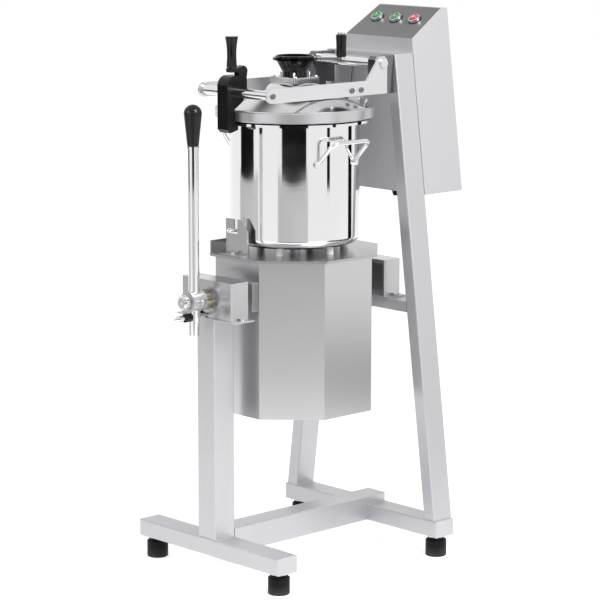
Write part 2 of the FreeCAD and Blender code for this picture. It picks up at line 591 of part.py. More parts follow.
keep(rod("drive_shaft", "shaft_r", "shaft_bottom", "column_top + 8"))
hub_inside = "column_r + hub_gap"
keep(turned("knife_hub", [
    ("shaft_r", "column_top + 6"), (hub_inside, "column_top + 2"), (hub_inside, "knife_hub_z"),
    ("knife_hub_r + 3", "knife_hub_z"), ("knife_hub_r", "knife_hub_z + 6"),
    ("knife_hub_r", "column_top + 6"), ("knife_hub_r - 8", "knife_hub_top - 10"),
    ("shaft_r", "knife_hub_top"), ("0", "knife_hub_top"),
    ("0", "column_top + 8"), ("shaft_r", "column_top + 8")]))


def knife(name, level, turn):
    """A sickle blade: an arc for the cutting edge, a flatter one for its back, and a tip on the swept circle."""
    root = "knife_hub_r"
    outline = [(root, "-knife_root / 2", "knife_edge_r"),
               ("knife_reach * cos(24)", "-knife_reach * sin(24)", "knife_reach"),
               ("knife_reach * cos(10)", "-knife_reach * sin(10)", "-knife_back_r"), (root, "knife_root / 2")]
    body = pad(name, "XY_Plane", [outline], "knife_thick", z=level)
    body.Placement = FreeCAD.Placement(body.Placement.Base, FreeCAD.Rotation(Z_AXIS, turn))
    return body


blades = []
for number, (level, turn) in enumerate((("knife_low_z", 40), ("knife_low_z", 220),
                                        ("knife_high_z", 130), ("knife_high_z", 310))):
    blade = knife(f"blade_{number + 1}", level, turn)
    blades.append(cut(f"knife_{number + 1}", blade, [
        rod(f"knife_seat_{number + 1}", "knife_hub_r + 2", "knife_hub_z - 1", f"{level}"),
        rod(f"knife_ring_{number + 1}", "knife_hub_r", level, f"{level} + knife_thick")]))
keep(group("knives", blades))

# Bowl with its centre column, rim, lock pin and handles

inside = "bowl_r - bowl_wall"
bowl_shell = turned("bowl_shell", [
    ("column_r - column_wall", "bowl_bottom"), ("bowl_r - bowl_round", "bowl_bottom", "bowl_round"),
    ("bowl_r", "bowl_bottom + bowl_round"), ("bowl_r", "bowl_top - rim_tall"),
    ("rim_r", "bowl_top - rim_tall"), ("rim_r", "bowl_top"), (inside, "bowl_top"),
    (inside, "bowl_bottom + bowl_round", "-(bowl_round - bowl_wall)"),
    ("bowl_r - bowl_round", "bowl_bottom + bowl_wall"), ("column_r", "bowl_bottom + bowl_wall"),
    ("column_r", "column_top"), ("column_r - column_wall", "column_top")])
pin_way = FreeCAD.Rotation(Z_AXIS, -90 - measure("lock_pin_angle")).multiply(ALONG["x"])
lock_pin = doc.addObject("Part::Cylinder", "lock_pin")
lock_pin.setExpression("Radius", formula("lock_pin_r"))
lock_pin.setExpression("Height", formula("catch_y + catch_sheet * 4 - bowl_r + 1"))
place(lock_pin, "-(bowl_r - 1) * sin(lock_pin_angle)", "-(bowl_r - 1) * cos(lock_pin_angle)", "lock_pin_z",
      pin_way)
keep(fuse("bowl", [bowl_shell, lock_pin]))
handles = []
for side, sign in (("right", ""), ("left", "-")):
    foot_x = "(sqrt(bowl_r ^ 2 - handle_half ^ 2) - 1)"
    route = [(f"{sign}{foot_x}", "-handle_half", "handle_foot_z"),
             (f"{sign}handle_out", "-handle_half", "handle_top_z"),
             (f"{sign}handle_out", "handle_half", "handle_top_z"),
             (f"{sign}{foot_x}", "handle_half", "handle_foot_z")]
    whole = bent_rod(f"handle_rod_{side}", route, "handle_bend", "handle_rod_r")
    lugs = [rod(f"handle_lug_{side}_{number}", "handle_rod_r * 2", "0", "handle_rod_r * 2 + 1",
                turn=FreeCAD.Rotation(Z_AXIS, math.degrees(math.atan2(way * measure("handle_half"),
                                      (1 if not sign else -1) * measure(foot_x)))).multiply(ALONG["x"]))
            for number, way in enumerate((-1, 1))]
    for lug, way in zip(lugs, ("-", "")):
        place(lug, f"{sign}({foot_x} - 3)", f"{way}(handle_half - 1)", "handle_foot_z")
    merged = fuse(f"handle_whole_{side}", [whole] + lugs)
    handles.append(cut(f"bowl_handle_{side}", merged,
                       [rod(f"handle_wall_{side}", "bowl_r", "handle_foot_z - 40", "handle_top_z")]))
keep(group("bowl_handles", handles))

# Lid

band_top = "lid_bottom + lid_band_tall"
keep(turned("lid_rim", [
    ("lid_seat_r", "lid_bottom"), ("lid_r - 2", "lid_bottom"), ("lid_r", "lid_bottom + 2"),
    ("lid_r", band_top), ("lid_r - 3", f"{band_top} + 2"), ("dome_foot_r", "dome_foot_z - 1"),
    ("dome_foot_r", f"{band_top} - 1"), ("lid_r - 3", f"{band_top} - 1"), ("lid_r - 3", "lid_bottom + 3"),
    ("lid_seat_r", "lid_bottom + 3")]))
keep(turned("lid_dome", [
    ("dome_foot_r", "dome_foot_z - lid_sheet"), ("dome_foot_r", "dome_foot_z"),
    ("dome_middle_r", "dome_middle_z"), ("dome_knee_r", "dome_knee_z", "dome_bend"), ("dome_flat_r", "dome_top"),
    ("tube_out + running_gap", "dome_top"), ("tube_out + running_gap", "dome_top - lid_sheet"),
    ("dome_flat_r", "dome_top - lid_sheet", "-(dome_bend - lid_sheet)"),
    ("dome_knee_r - 1.4", "dome_knee_z - lid_sheet"), ("dome_middle_r - 0.7", "dome_middle_z - lid_sheet")]))
keep(turned("lid_gasket", [
    ("gasket_in", "bowl_top + gasket_gap + 1"), ("gasket_in + 1", "bowl_top + gasket_gap"),
    ("gasket_out", "bowl_top + gasket_gap"), ("gasket_out", "lid_bottom"), ("gasket_in", "lid_bottom")]))
block_blank = pad("funnel_block_blank", "XY_Plane",
                  [[("-block_x / 2", "-block_y / 2"), ("block_x / 2", "-block_y / 2"),
                    ("block_x / 2", "block_y / 2"), ("-block_x / 2", "block_y / 2")]],
                  "block_tall", z="dome_top", circles=[("0", "0", "tube_out + running_gap")])
keep(round_edges("funnel_block", block_blank, "block_round", runs_along(Z_AXIS)))
stud_base = "(dome_knee_z - 14)"
stud_blank = fuse("lid_stud_blank", [
    rod("stud_post", "stud_r", "dome_foot_z", f"{stud_base} + stud_tall", x="stud_x", y="stud_y"),
    rod("stud_head", "stud_r + 2", f"{stud_base} + stud_tall", f"{stud_base} + stud_tall + 6",
        x="stud_x", y="stud_y")])
dome_fill = [("0", "dome_foot_z - 9"), ("dome_foot_r", "dome_foot_z - 9"), ("dome_foot_r", "dome_foot_z"),
             ("dome_middle_r", "dome_middle_z"), ("dome_knee_r", "dome_knee_z", "dome_bend"),
             ("dome_flat_r", "dome_top"), ("0", "dome_top")]
dome_inside = turned("dome_inside", dome_fill)
keep(cut("lid_stud", stud_blank, [dome_inside]))

# Arms that carry the lid

arm_low = "(arm_z - arm_tall / 2)"
arm_high = "(arm_z + arm_tall / 2)"
arm_outline = [("-arm_front", arm_low), ("arm_rear", arm_low), ("arm_rear", "arm_head - 8"),
               ("arm_rear - 8", "arm_head"), ("pivot_y - 8", "arm_head"), ("arm_ramp_high", "arm_head - 12"),
               ("arm_ramp_low", arm_high), ("-arm_front", arm_high, "arm_tall / 2 + 0.001")]
for side, sign in (("left", -1), ("right", 1)):
    x = "arm_x" if sign > 0 else "-arm_x - arm_thick"
    keep(pad(f"lid_arm_{side}", "YZ_Plane", [arm_outline], "arm_thick", x=x,
             circles=[("pivot_y", "pivot_z", "pivot_pin_r + running_gap")]))
keep(rod("cross_tube", "cross_r", "-arm_x", "arm_x", y="-arm_front", z="arm_z", along="x"))
arm_bolts, brackets = [], []
for side, sign in (("left", -1), ("right", 1)):
    near, far = "arm_x + arm_thick", "arm_x + arm_thick + arm_bolt_tall"
    for number, (y, z) in enumerate((("-arm_front", "arm_z"), ("arm_bolt_one", "arm_z - 3"),
                                     ("arm_bolt_two", "arm_z - 3"))):
        low_x, high_x = (near, far) if sign > 0 else (f"-({far})", f"-({near})")
        arm_bolts.append(rod(f"arm_bolt_{side}_{number + 1}", "arm_bolt_r", low_x, high_x, y=y, z=z, along="x"))
    start = "((arm_bolt_one + arm_bolt_two) / 2 - bracket_long / 2)"
    stop = "((arm_bolt_one + arm_bolt_two) / 2 + bracket_long / 2)"
    inner, outer = "arm_x - bracket_sheet", "arm_x"
    low_x, high_x = (inner, outer) if sign > 0 else (f"-({outer})", f"-({inner})")
    upright = block(f"bracket_upright_{side}", (low_x, start, "dome_foot_z"), (high_x, stop, f"{arm_high} - 4"))
    foot_x = ("arm_x - bracket_foot", "arm_x") if sign > 0 else ("-arm_x", "-arm_x + bracket_foot")
    foot = block(f"bracket_foot_{side}", (foot_x[0], start, "dome_foot_z"), (foot_x[1], stop, "dome_foot_z + 12"))
    merged = fuse(f"bracket_blank_{side}", [upright, foot])
    dome_tool = turned(f"bracket_seat_{side}", dome_fill)
    brackets.append(cut(f"lid_bracket_{side}", merged, [dome_tool]))
keep(group("arm_bolts", arm_bolts))
keep(group("lid_brackets", brackets))

# Hinge of the arms on the rear frame

hinge_outline = [("pivot_y - 20", "block_low"), (rear_front, "block_low"), (rear_front, "block_high"),
                 ("pivot_y - 14", "block_high"), ("pivot_y - 20", "block_high - 8")]
hinges, pivot_bolts = [], []
for side, sign in (("left", -1), ("right", 1)):
    inner, outer = "block_in", "arm_x - block_side_gap"
    x = inner if sign > 0 else f"-({outer})"
    hinges.append(pad(f"hinge_block_{side}", "YZ_Plane", [hinge_outline], f"{outer} - {inner}", x=x,
                      circles=[("pivot_y", "pivot_z", "pivot_r")]))
    near = "arm_x + arm_thick + block_side_gap"
    far = f"{near} + arm_bolt_tall"
    low_x, high_x = (near, far) if sign > 0 else (f"-({far})", f"-({near})")
    pivot_bolts.append(rod(f"pivot_bolt_{side}", "pivot_pin_r + 3", low_x, high_x, y="pivot_y", z="pivot_z",
                           along="x"))
keep(group("hinge_blocks", hinges))
keep(group("pivot_bolts", pivot_bolts))
keep(fuse("pivot_tube", [
    rod("pivot_middle", "pivot_r", "-arm_x + block_side_gap", "arm_x - block_side_gap", y="pivot_y",
        z="pivot_z", along="x"),
    rod("pivot_ends", "pivot_pin_r", "-arm_x - arm_thick - block_side_gap", "arm_x + arm_thick + block_side_gap",
        y="pivot_y", z="pivot_z", along="x")]))

# Latch on the cross tube, with its upright grip

nose = "(-rim_r - latch_nose_gap)"
band_face = "(-lid_r - latch_band_gap)"
latch_outline = [
    ("-latch_front + 8", "latch_bottom"), (nose, "latch_bottom + 6"), (nose, "lid_bottom - 6"),
    (f"{band_face}", "lid_bottom - 4"), (band_face, "lid_bottom + lid_band_tall + 6"),
    ("-arm_front + 12", "arm_z - 22"), ("-latch_rear", "arm_z - 6"), ("-latch_rear", "latch_top - 12", "14"),
    ("-latch_rear - 12", "latch_top"), ("-latch_front + 22", "latch_top", "24"),
    ("-latch_front", "latch_top - 24"), ("-latch_front", "latch_bottom + 8")]
latch_plate = pad("latch_plate", "YZ_Plane", [latch_outline], "latch_left + latch_right", x="-latch_left",
                  circles=[("-arm_front", "arm_z", "cross_r + running_gap")])
arm_root = "-latch_rear - 24"
latch_neck = pad("latch_neck", "YZ_Plane", [[
    (arm_root, "latch_top - 2"), ("-latch_rear - 2", "latch_top - 8"), ("-latch_rear + 1", "latch_grip_z - 6", "16"),
    ("-latch_rear - 10", "latch_grip_z + 5"), ("-latch_grip_y + 11", "latch_grip_z"),
    ("-latch_grip_y - 11", "latch_grip_z"), ("-latch_grip_y - 9", "latch_grip_z - 9"),
    ("-latch_grip_y + 13", "latch_grip_z - 9")]], "16", x="-latch_right - 9")
keep(fuse("latch", [latch_plate, latch_neck]))
keep(turned("latch_grip", [
    ("0", "0"), ("10", "0"), ("12", "3"), ("11", "20", "-200"), ("15", "latch_grip_tall - 1"),
    ("14", "latch_grip_tall"), ("0", "latch_grip_tall")], "-latch_right - 1", "-latch_grip_y", "latch_grip_z"))

# Funnel, crank and wiper, which turn together in the block

block_top = "dome_top + block_tall"
rim_low = "funnel_top - funnel_rim"
keep(turned("funnel", [
    ("tube_bore", "tube_bottom"), ("tube_out", "tube_bottom"), ("tube_out", f"{block_top} + seat_gap"),
    ("neck_r", f"{block_top} + seat_gap"), ("neck_r", f"{block_top} + neck_tall"),
    ("funnel_r - 1", rim_low), ("funnel_r", rim_low), ("funnel_r", "funnel_top"),
    ("funnel_r - funnel_wall", "funnel_top"), ("funnel_r - funnel_wall", f"{rim_low} + 2"),
    ("tube_bore", f"{block_top} + neck_tall")]))
ring_out = cut("crank_ring_body", rod("crank_ring_blank", "funnel_r + crank_ring", rim_low,
                                      f"{rim_low} + crank_thick"),
               [rod("crank_ring_bore", "funnel_r", rim_low, f"{rim_low} + crank_thick")])
crank_way = FreeCAD.Rotation(Z_AXIS, measure("crank_turned"))
arm = doc.addObject("Part::Box", "crank_arm")
arm.setExpression("Length", formula("crank_reach - funnel_r - 1"))
arm.setExpression("Width", formula("crank_wide"))
arm.setExpression("Height", formula("crank_thick"))
place(arm, "(funnel_r + 1) * cos(crank_turned) + crank_wide / 2 * sin(crank_turned)",
      "(funnel_r + 1) * sin(crank_turned) - crank_wide / 2 * cos(crank_turned)", rim_low, crank_way)
pin_x, pin_y = "crank_reach * cos(crank_turned)", "crank_reach * sin(crank_turned)"
arm_end = rod("crank_arm_end", "crank_wide / 2", rim_low, f"{rim_low} + crank_thick", x=pin_x, y=pin_y)
grip_z = f"{rim_low} + crank_thick + seat_gap"
crank_pin = rod("crank_pin", "crank_pin_r", rim_low, f"{grip_z} + crank_grip_tall + 1", x=pin_x, y=pin_y)
crank_cap = rod("crank_cap", "crank_pin_r + 4", f"{grip_z} + crank_grip_tall + seat_gap",
                f"{grip_z} + crank_grip_tall + 4", x=pin_x, y=pin_y)
keep(fuse("crank_arm_bar", [ring_out, arm, arm_end, crank_pin, crank_cap]))
keep(turned("crank_grip", [
    ("crank_pin_r + running_gap", "0"), ("crank_grip_r - 3", "0"), ("crank_grip_r - 1", "3", "-300"),
    ("crank_grip_r", "crank_grip_tall - 3"), ("crank_grip_r - 3", "crank_grip_tall"),
    ("crank_pin_r + running_gap", "crank_grip_tall")], pin_x, pin_y, grip_z))
wiper_hub = cut("wiper_hub", rod("wiper_hub_blank", "tube_out + 5", "tube_bottom - 16", "tube_bottom"),
                [rod("wiper_hub_bore", "tube_bore", "tube_bottom - 16", "tube_bottom")])
paddles = []
for side, sign in (("left", -1), ("right", 1)):
    inner, outer = "(tube_out + 2)", "wiper_reach"
    low_x, high_x = (inner, outer) if sign > 0 else (f"-({outer})", f"-({inner})")
    paddles.append(block(f"wiper_arm_{side}", (low_x, "-wiper_thick / 2", "tube_bottom - 16"),
                         (high_x, "wiper_thick / 2", "tube_bottom - 4")))
    inner = "(wiper_reach - wiper_tall)"
    low_x, high_x = (inner, outer) if sign > 0 else (f"-({outer})", f"-({inner})")
    paddles.append(block(f"wiper_blade_{side}", (low_x, "-wiper_thick / 2", "wiper_bottom"),
                         (high_x, "wiper_thick / 2", "tube_bottom - 4")))
keep(fuse("wiper", [wiper_hub] + paddles))

# Control box on the back of the rear frame, with its sloped panel

side_outline = [("0", "box_bottom"), ("box_rear - rear_y - tube / 2", "box_bottom"),
                ("box_rear - rear_y - tube / 2", "panel_high"),
                ("panel_back - rear_y - tube / 2", "panel_high"), ("0", "panel_low")]
inner_outline = [("box_sheet", "box_bottom + box_sheet"), ("box_rear - rear_y - tube / 2", "box_bottom + box_sheet"),
                 ("box_rear - rear_y - tube / 2", "panel_high - box_sheet"),
                 ("panel_back - rear_y - tube / 2 + 0.5", "panel_high - box_sheet"),
                 ("box_sheet", "panel_low - box_sheet / 2")]


def box_form(name, outline, less):
    """The box's side outline, cut to the leaning width of the rear frame."""
    wide = f"({frame_half('box_bottom - 1')})"
    length = pad(name + "_length", "YZ_Plane", [outline], f"2 * {wide}", x=f"-{wide}", y=rear_back)
    low, high = frame_half("box_bottom - 1"), frame_half("panel_high + 1")
    front = [(f"-({low} - {less})", "box_bottom - 1"), (f"{low} - {less}", "box_bottom - 1"),
             (f"{high} - {less}", "panel_high + 1"), (f"-({high} - {less})", "panel_high + 1")]
    width = pad(name + "_width", "XZ_Plane", [front], "box_rear - rear_y", y=f"{rear_back} - 1")
    both = doc.addObject("Part::Common", name)
    both.Base = length
    both.Tool = width
    return both


def on_panel(name, radius, low, high, x, up):
    """A cylinder that stands square to the sloped panel."""
    thing = doc.addObject("Part::Cylinder", name)
    thing.setExpression("Radius", formula(radius))
    thing.setExpression("Height", formula(f"({high}) - ({low})"))
    tilt = FreeCAD.Rotation(X_AXIS, measure("panel_slope"))
    return place(thing, x, f"{rear_back} + ({up}) * cos(panel_slope) - ({low}) * sin(panel_slope)",
                 f"panel_low + ({up}) * sin(panel_slope) + ({low}) * cos(panel_slope)", tilt)


BUTTONS = (("green_button_left", "-button_pitch"), ("green_button_middle", "0"), ("red_button", "button_pitch"))
box_tools = [box_form("box_inside", inner_outline, "box_sheet")]
for name, x in BUTTONS:
    box_tools.append(on_panel(name + "_hole", "cap_r + 2", "-6", "1", x, "button_up"))
box_tools.append(rod("gland_hole", "gland_bore + 3", "box_bottom - 1", "box_bottom + box_sheet + 1",
                     x="0", y="(box_rear + rear_y + tube / 2) / 2"))
keep(cut("control_box", box_form("box_outside", side_outline, "0"), box_tools))
low, high = frame_half("box_bottom"), frame_half("panel_high")
cover_outline = [(f"-({low} - 3)", "box_bottom + 3"), (f"{low} - 3", "box_bottom + 3"),
                 (f"{high} - 3", "panel_high - 3"), (f"-({high} - 3)", "panel_high - 3")]
keep(pad("control_box_cover", "XZ_Plane", [cover_outline], "box_sheet", y="box_rear"))
bezels = []
for name, x in BUTTONS:
    ring = on_panel(name + "_ring", "bezel_r", "0", "bezel_tall", x, "button_up")
    bezels.append(cut(name + "_bezel", ring,
                      [on_panel(name + "_bore", "cap_r + cap_gap", "-1", "bezel_tall + 1", x, "button_up")]))
    keep(on_panel(name, "cap_r", "-10", "bezel_tall + cap_proud", x, "button_up"))
keep(group("button_bezels", bezels))
keep(block("contactor", ("-contactor_wide / 2", "box_rear - contactor_deep", "box_bottom + contactor_up"),
           ("contactor_wide / 2", "box_rear", "box_bottom + contactor_up + contactor_tall")))
gland_y = "(box_rear + rear_y + tube / 2) / 2"
keep(cut("cable_gland", fuse("gland_blank", [
    rod("gland_nut", "gland_r", "box_bottom - gland_tall / 2", "box_bottom", y=gland_y),
    taper("gland_dome", "gland_r - 4", "gland_r - 1", "box_bottom - gland_tall", "box_bottom - gland_tall / 2",
          y=gland_y)]), [rod("gland_bore_tool", "gland_bore", "box_bottom - gland_tall", "box_bottom",
                             y=gland_y)]))

# Check every object, then write one file per piece

doc.recompute()
faults = [item.Name for item in doc.Objects if "Invalid" in item.State or "Error" in item.State]
for thing in pieces:
    if thing.Shape.isNull() or not thing.Shape.isValid() or not thing.Shape.Solids:
        faults.append(thing.Name + " shape")
if faults:
    raise RuntimeError("not built: " + ", ".join(faults))
os.makedirs("parts", exist_ok=True)
for thing in pieces:
    thing.Shape.exportStep(f"parts/{thing.Label}.step")
whole = Part.makeCompound([thing.Shape for thing in pieces]).BoundBox
print(f"{len(pieces)} pieces, {whole.XMin:.1f} {whole.XMax:.1f} {whole.YMin:.1f} {whole.YMax:.1f} "
      f"{whole.ZMin:.1f} {whole.ZMax:.1f}")
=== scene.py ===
# %% [markdown]
# The bowl cutter comes from the imported model with every piece in its place.
# This lesson gives each piece its finish, adds the small things that a drawing leaves out, such as weld
# beads, screws and rods, and then lights the machine the way a catalogue studio would.

# %% Load the machine
import math

import bpy
import bmesh
from mathutils import Matrix, Vector


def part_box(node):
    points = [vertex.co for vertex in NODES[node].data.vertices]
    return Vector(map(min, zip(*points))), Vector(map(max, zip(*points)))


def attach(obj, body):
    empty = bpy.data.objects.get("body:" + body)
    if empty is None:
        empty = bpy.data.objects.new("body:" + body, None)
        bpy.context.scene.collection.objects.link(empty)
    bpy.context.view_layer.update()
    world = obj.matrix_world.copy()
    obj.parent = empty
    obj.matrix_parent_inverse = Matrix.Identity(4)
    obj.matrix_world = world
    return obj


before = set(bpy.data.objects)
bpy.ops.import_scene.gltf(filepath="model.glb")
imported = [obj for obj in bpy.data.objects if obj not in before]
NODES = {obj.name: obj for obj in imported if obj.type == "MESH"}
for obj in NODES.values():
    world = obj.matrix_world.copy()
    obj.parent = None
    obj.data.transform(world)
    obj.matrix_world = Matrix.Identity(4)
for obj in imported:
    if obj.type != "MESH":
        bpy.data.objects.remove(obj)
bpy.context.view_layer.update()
print("nodes:", len(NODES))

# %% [markdown]
# The photograph was taken from the machine's right front, a little above the bowl's rim, with a long lens.
# The camera stands on a line from the middle of the picture, turned 47 degrees and raised 10.2 degrees.
# Both angles and the distance are named and the place is worked out from them. The studio's lamps and cards
# are placed later by the same helper, as degrees of turn from the camera's own side.

# %% Camera
VIEW_TURN = math.radians(47.0)
VIEW_RISE = 10.2
VIEW_DISTANCE = 6.180
VIEW_MIDDLE = Vector((-0.1413, 0.1322, 0.5778))
LENS_MM = 153.07
SENSOR_MM = 36.0
FAR_LIMIT = 60.0


def way(turn, rise=0.0):
    """A direction, given by degrees of turn from the view's own side and degrees of rise."""
    angle = VIEW_TURN + math.radians(turn)
    lift = math.radians(rise)
    return Vector((math.sin(angle) * math.cos(lift), -math.cos(angle) * math.cos(lift), math.sin(lift)))


camera_data = bpy.data.cameras.new("studio_camera")
camera_data.lens = LENS_MM
camera_data.sensor_width = SENSOR_MM
camera_data.clip_end = FAR_LIMIT
camera = bpy.data.objects.new("studio_camera", camera_data)
bpy.context.scene.collection.objects.link(camera)
towards_camera = way(0.0, VIEW_RISE)
camera.location = VIEW_MIDDLE + towards_camera * VIEW_DISTANCE
camera.rotation_euler = (-towards_camera).to_track_quat("-Z", "Y").to_euler()
bpy.context.scene.camera = camera
bpy.context.scene.view_settings.view_transform = "Standard"
print("camera at", [round(value, 3) for value in camera.location])

# %% [markdown]
# Brushed sheet, satin castings and polished steel all carry fine lines from their tools.
# One node group draws them: noise that is stretched along one direction. Each material sets its own stretch.
# A second group makes the soft cloudy marks that hands and wiping leave, and a third the dust near the floor.
# The last two pick out a place: the faces that look one way, and what lies close to an upright axis.

# %% Shared surface effects


def new_group(name, inputs, outputs):
    """An empty node group with named sockets, given as (name, socket type, value)."""
    group = bpy.data.node_groups.new(name, "ShaderNodeTree")
    for label, kind, value in inputs:
        socket = group.interface.new_socket(label, in_out="INPUT", socket_type=kind)
        socket.default_value = value
    for label, kind in outputs:
        group.interface.new_socket(label, in_out="OUTPUT", socket_type=kind)
    start = group.nodes.new("NodeGroupInput")
    end = group.nodes.new("NodeGroupOutput")
    return group, start, end


def tool_lines():
    """Fine parallel lines: noise stretched by a vector, from 0 to 1."""
    group, start, end = new_group("tool_lines", [("Stretch", "NodeSocketVector", (1, 1, 1)),
                                                 ("Detail", "NodeSocketFloat", 4.0)],
                                  [("Lines", "NodeSocketFloat")])
    place = group.nodes.new("ShaderNodeTexCoord")
    scale = group.nodes.new("ShaderNodeVectorMath")
    scale.operation = "MULTIPLY"
    noise = group.nodes.new("ShaderNodeTexNoise")
    noise.inputs["Scale"].default_value = 1.0
    group.links.new(place.outputs["Object"], scale.inputs[0])
    group.links.new(start.outputs["Stretch"], scale.inputs[1])
    group.links.new(scale.outputs[0], noise.inputs["Vector"])
    group.links.new(start.outputs["Detail"], noise.inputs["Detail"])
    group.links.new(noise.outputs["Fac"], end.inputs["Lines"])
    return group


def hand_marks():
    """Soft clouds where hands and cloths went, from 0 to 1."""
    group, start, end = new_group("hand_marks", [("Size", "NodeSocketFloat", 9.0),
                                                 ("Edge", "NodeSocketFloat", 0.62)],
                                  [("Marks", "NodeSocketFloat")])
    place = group.nodes.new("ShaderNodeTexCoord")
    noise = group.nodes.new("ShaderNodeTexNoise")
    noise.inputs["Detail"].default_value = 5.0
    ramp = group.nodes.new("ShaderNodeMapRange")
    ramp.inputs["To Min"].default_value = 0.0
    ramp.inputs["To Max"].default_value = 1.0
    ramp.inputs["From Min"].default_value = 0.40
    group.links.new(place.outputs["Object"], noise.inputs["Vector"])
    group.links.new(start.outputs["Size"], noise.inputs["Scale"])
    group.links.new(noise.outputs["Fac"], ramp.inputs["Value"])
    group.links.new(start.outputs["Edge"], ramp.inputs["From Max"])
    group.links.new(ramp.outputs["Result"], end.inputs["Marks"])
    return group


def floor_dust():
    """Dust that settles up to a height above the floor, broken up by noise."""
    group, start, end = new_group("floor_dust", [("Height", "NodeSocketFloat", 0.12)],
                                  [("Dust", "NodeSocketFloat")])
    place = group.nodes.new("ShaderNodeTexCoord")
    split = group.nodes.new("ShaderNodeSeparateXYZ")
    fade = group.nodes.new("ShaderNodeMapRange")
    fade.inputs["To Min"].default_value = 1.0
    fade.inputs["To Max"].default_value = 0.0
    noise = group.nodes.new("ShaderNodeTexNoise")
    noise.inputs["Scale"].default_value = 60.0
    both = group.nodes.new("ShaderNodeMath")
    both.operation = "MULTIPLY"
    group.links.new(place.outputs["Object"], split.inputs[0])
    group.links.new(split.outputs["Z"], fade.inputs["Value"])
    group.links.new(start.outputs["Height"], fade.inputs["From Max"])
    group.links.new(place.outputs["Object"], noise.inputs["Vector"])
    group.links.new(fade.outputs["Result"], both.inputs[0])
    group.links.new(noise.outputs["Fac"], both.inputs[1])
    group.links.new(both.outputs[0], end.inputs["Dust"])
    return group


def facing_way():
    """A mask of the faces that look one way, from 0 to 1."""
    group, start, end = new_group("facing_way", [("Way", "NodeSocketVector", (0, 0, 1))],
                                  [("Mask", "NodeSocketFloat")])
    place = group.nodes.new("ShaderNodeTexCoord")
    dot = group.nodes.new("ShaderNodeVectorMath")
    dot.operation = "DOT_PRODUCT"
    step = group.nodes.new("ShaderNodeMath")
    step.operation = "GREATER_THAN"
    step.inputs[1].default_value = 0.97
    group.links.new(place.outputs["Normal"], dot.inputs[0])
    group.links.new(start.outputs["Way"], dot.inputs[1])
    group.links.new(dot.outputs["Value"], step.inputs[0])
    group.links.new(step.outputs[0], end.inputs["Mask"])
    return group


def near_axis():
    """A mask of what lies within a radius of an upright axis, from 0 to 1."""
    group, start, end = new_group("near_axis", [("Centre", "NodeSocketVector", (0, 0, 0)),
                                                ("Radius", "NodeSocketFloat", 0.05)],
                                  [("Mask", "NodeSocketFloat")])
    place = group.nodes.new("ShaderNodeTexCoord")
    offset = group.nodes.new("ShaderNodeVectorMath")
    offset.operation = "SUBTRACT"
    flat = group.nodes.new("ShaderNodeVectorMath")
    flat.operation = "MULTIPLY"
    flat.inputs[1].default_value = (1.0, 1.0, 0.0)
    length = group.nodes.new("ShaderNodeVectorMath")
    length.operation = "LENGTH"
    step = group.nodes.new("ShaderNodeMath")
    step.operation = "LESS_THAN"
    group.links.new(place.outputs["Object"], offset.inputs[0])
    group.links.new(start.outputs["Centre"], offset.inputs[1])
    group.links.new(offset.outputs[0], flat.inputs[0])
    group.links.new(flat.outputs[0], length.inputs[0])
    group.links.new(length.outputs["Value"], step.inputs[0])
    group.links.new(start.outputs["Radius"], step.inputs[1])
    group.links.new(step.outputs[0], end.inputs["Mask"])
    return group


LINES = tool_lines()
MARKS = hand_marks()
DUST = floor_dust()
FACING = facing_way()
NEAR = near_axis()
print("groups:", [group.name for group in bpy.data.node_groups])

# %% [markdown]
# Every finish is a Principled shader whose colour, roughness and bump come from those groups.
# Metals differ in how rough they are and in how far their lines run; plastics and rubber have no metal.
# One function makes them all, and a table of values says how they differ.

# %% Finishes
DUST_HEIGHT = 0.025
DUST_GREY = (0.10, 0.10, 0.10)
COAT_ROUGH = 0.12
BUMP_STRENGTH = 0.4


def use(tree, group, **values):
    """Place a node group in a material and set its sockets."""
    node = tree.nodes.new("ShaderNodeGroup")
    node.node_tree = group
    for label, value in values.items():
        node.inputs[label].default_value = value
    return node


def blend_colour(tree, mask, first, second):
    """Two colours mixed by a mask."""
    mix = tree.nodes.new("ShaderNodeMix")
    mix.data_type = "RGBA"
    mix.inputs["A"].default_value = (*first, 1.0)
    mix.inputs["B"].default_value = (*second, 1.0)
    tree.links.new(mask, mix.inputs["Factor"])
    return mix.outputs["Result"]


def finish(name, colour, metal, rough, stretch, lines=0.08, depth=0.00002, marks=0.04, coat=0.0,
           shine=0.5, dusty=False):
    """A procedural finish: lines vary the colour and the bump, marks vary the roughness."""
    material = bpy.data.materials.new(name)
    material.use_nodes = True
    tree = material.node_tree
    shader = tree.nodes["Principled BSDF"]
    shader.inputs["Metallic"].default_value = metal
    shader.inputs["Specular IOR Level"].default_value = shine
    shader.inputs["Coat Weight"].default_value = coat
    shader.inputs["Coat Roughness"].default_value = COAT_ROUGH
    line = use(tree, LINES, Stretch=stretch)
    mark = use(tree, MARKS, Size=9.0)
    if dusty:
        dust = use(tree, DUST, Height=DUST_HEIGHT)
        shade = blend_colour(tree, dust.outputs["Dust"], colour, DUST_GREY)
    else:
        groove = tuple(value * (1.0 - lines) for value in colour)
        shade = blend_colour(tree, line.outputs["Lines"], groove, colour)
    tree.links.new(shade, shader.inputs["Base Color"])
    spread = tree.nodes.new("ShaderNodeMapRange")
    spread.inputs["To Min"].default_value = rough
    spread.inputs["To Max"].default_value = rough + marks
    tree.links.new(mark.outputs["Marks"], spread.inputs["Value"])
    tree.links.new(spread.outputs["Result"], shader.inputs["Roughness"])
    bump = tree.nodes.new("ShaderNodeBump")
    bump.inputs["Strength"].default_value = BUMP_STRENGTH
    bump.inputs["Distance"].default_value = depth
    tree.links.new(line.outputs["Lines"], bump.inputs["Height"])
    tree.links.new(bump.outputs["Normal"], shader.inputs["Normal"])
    return material


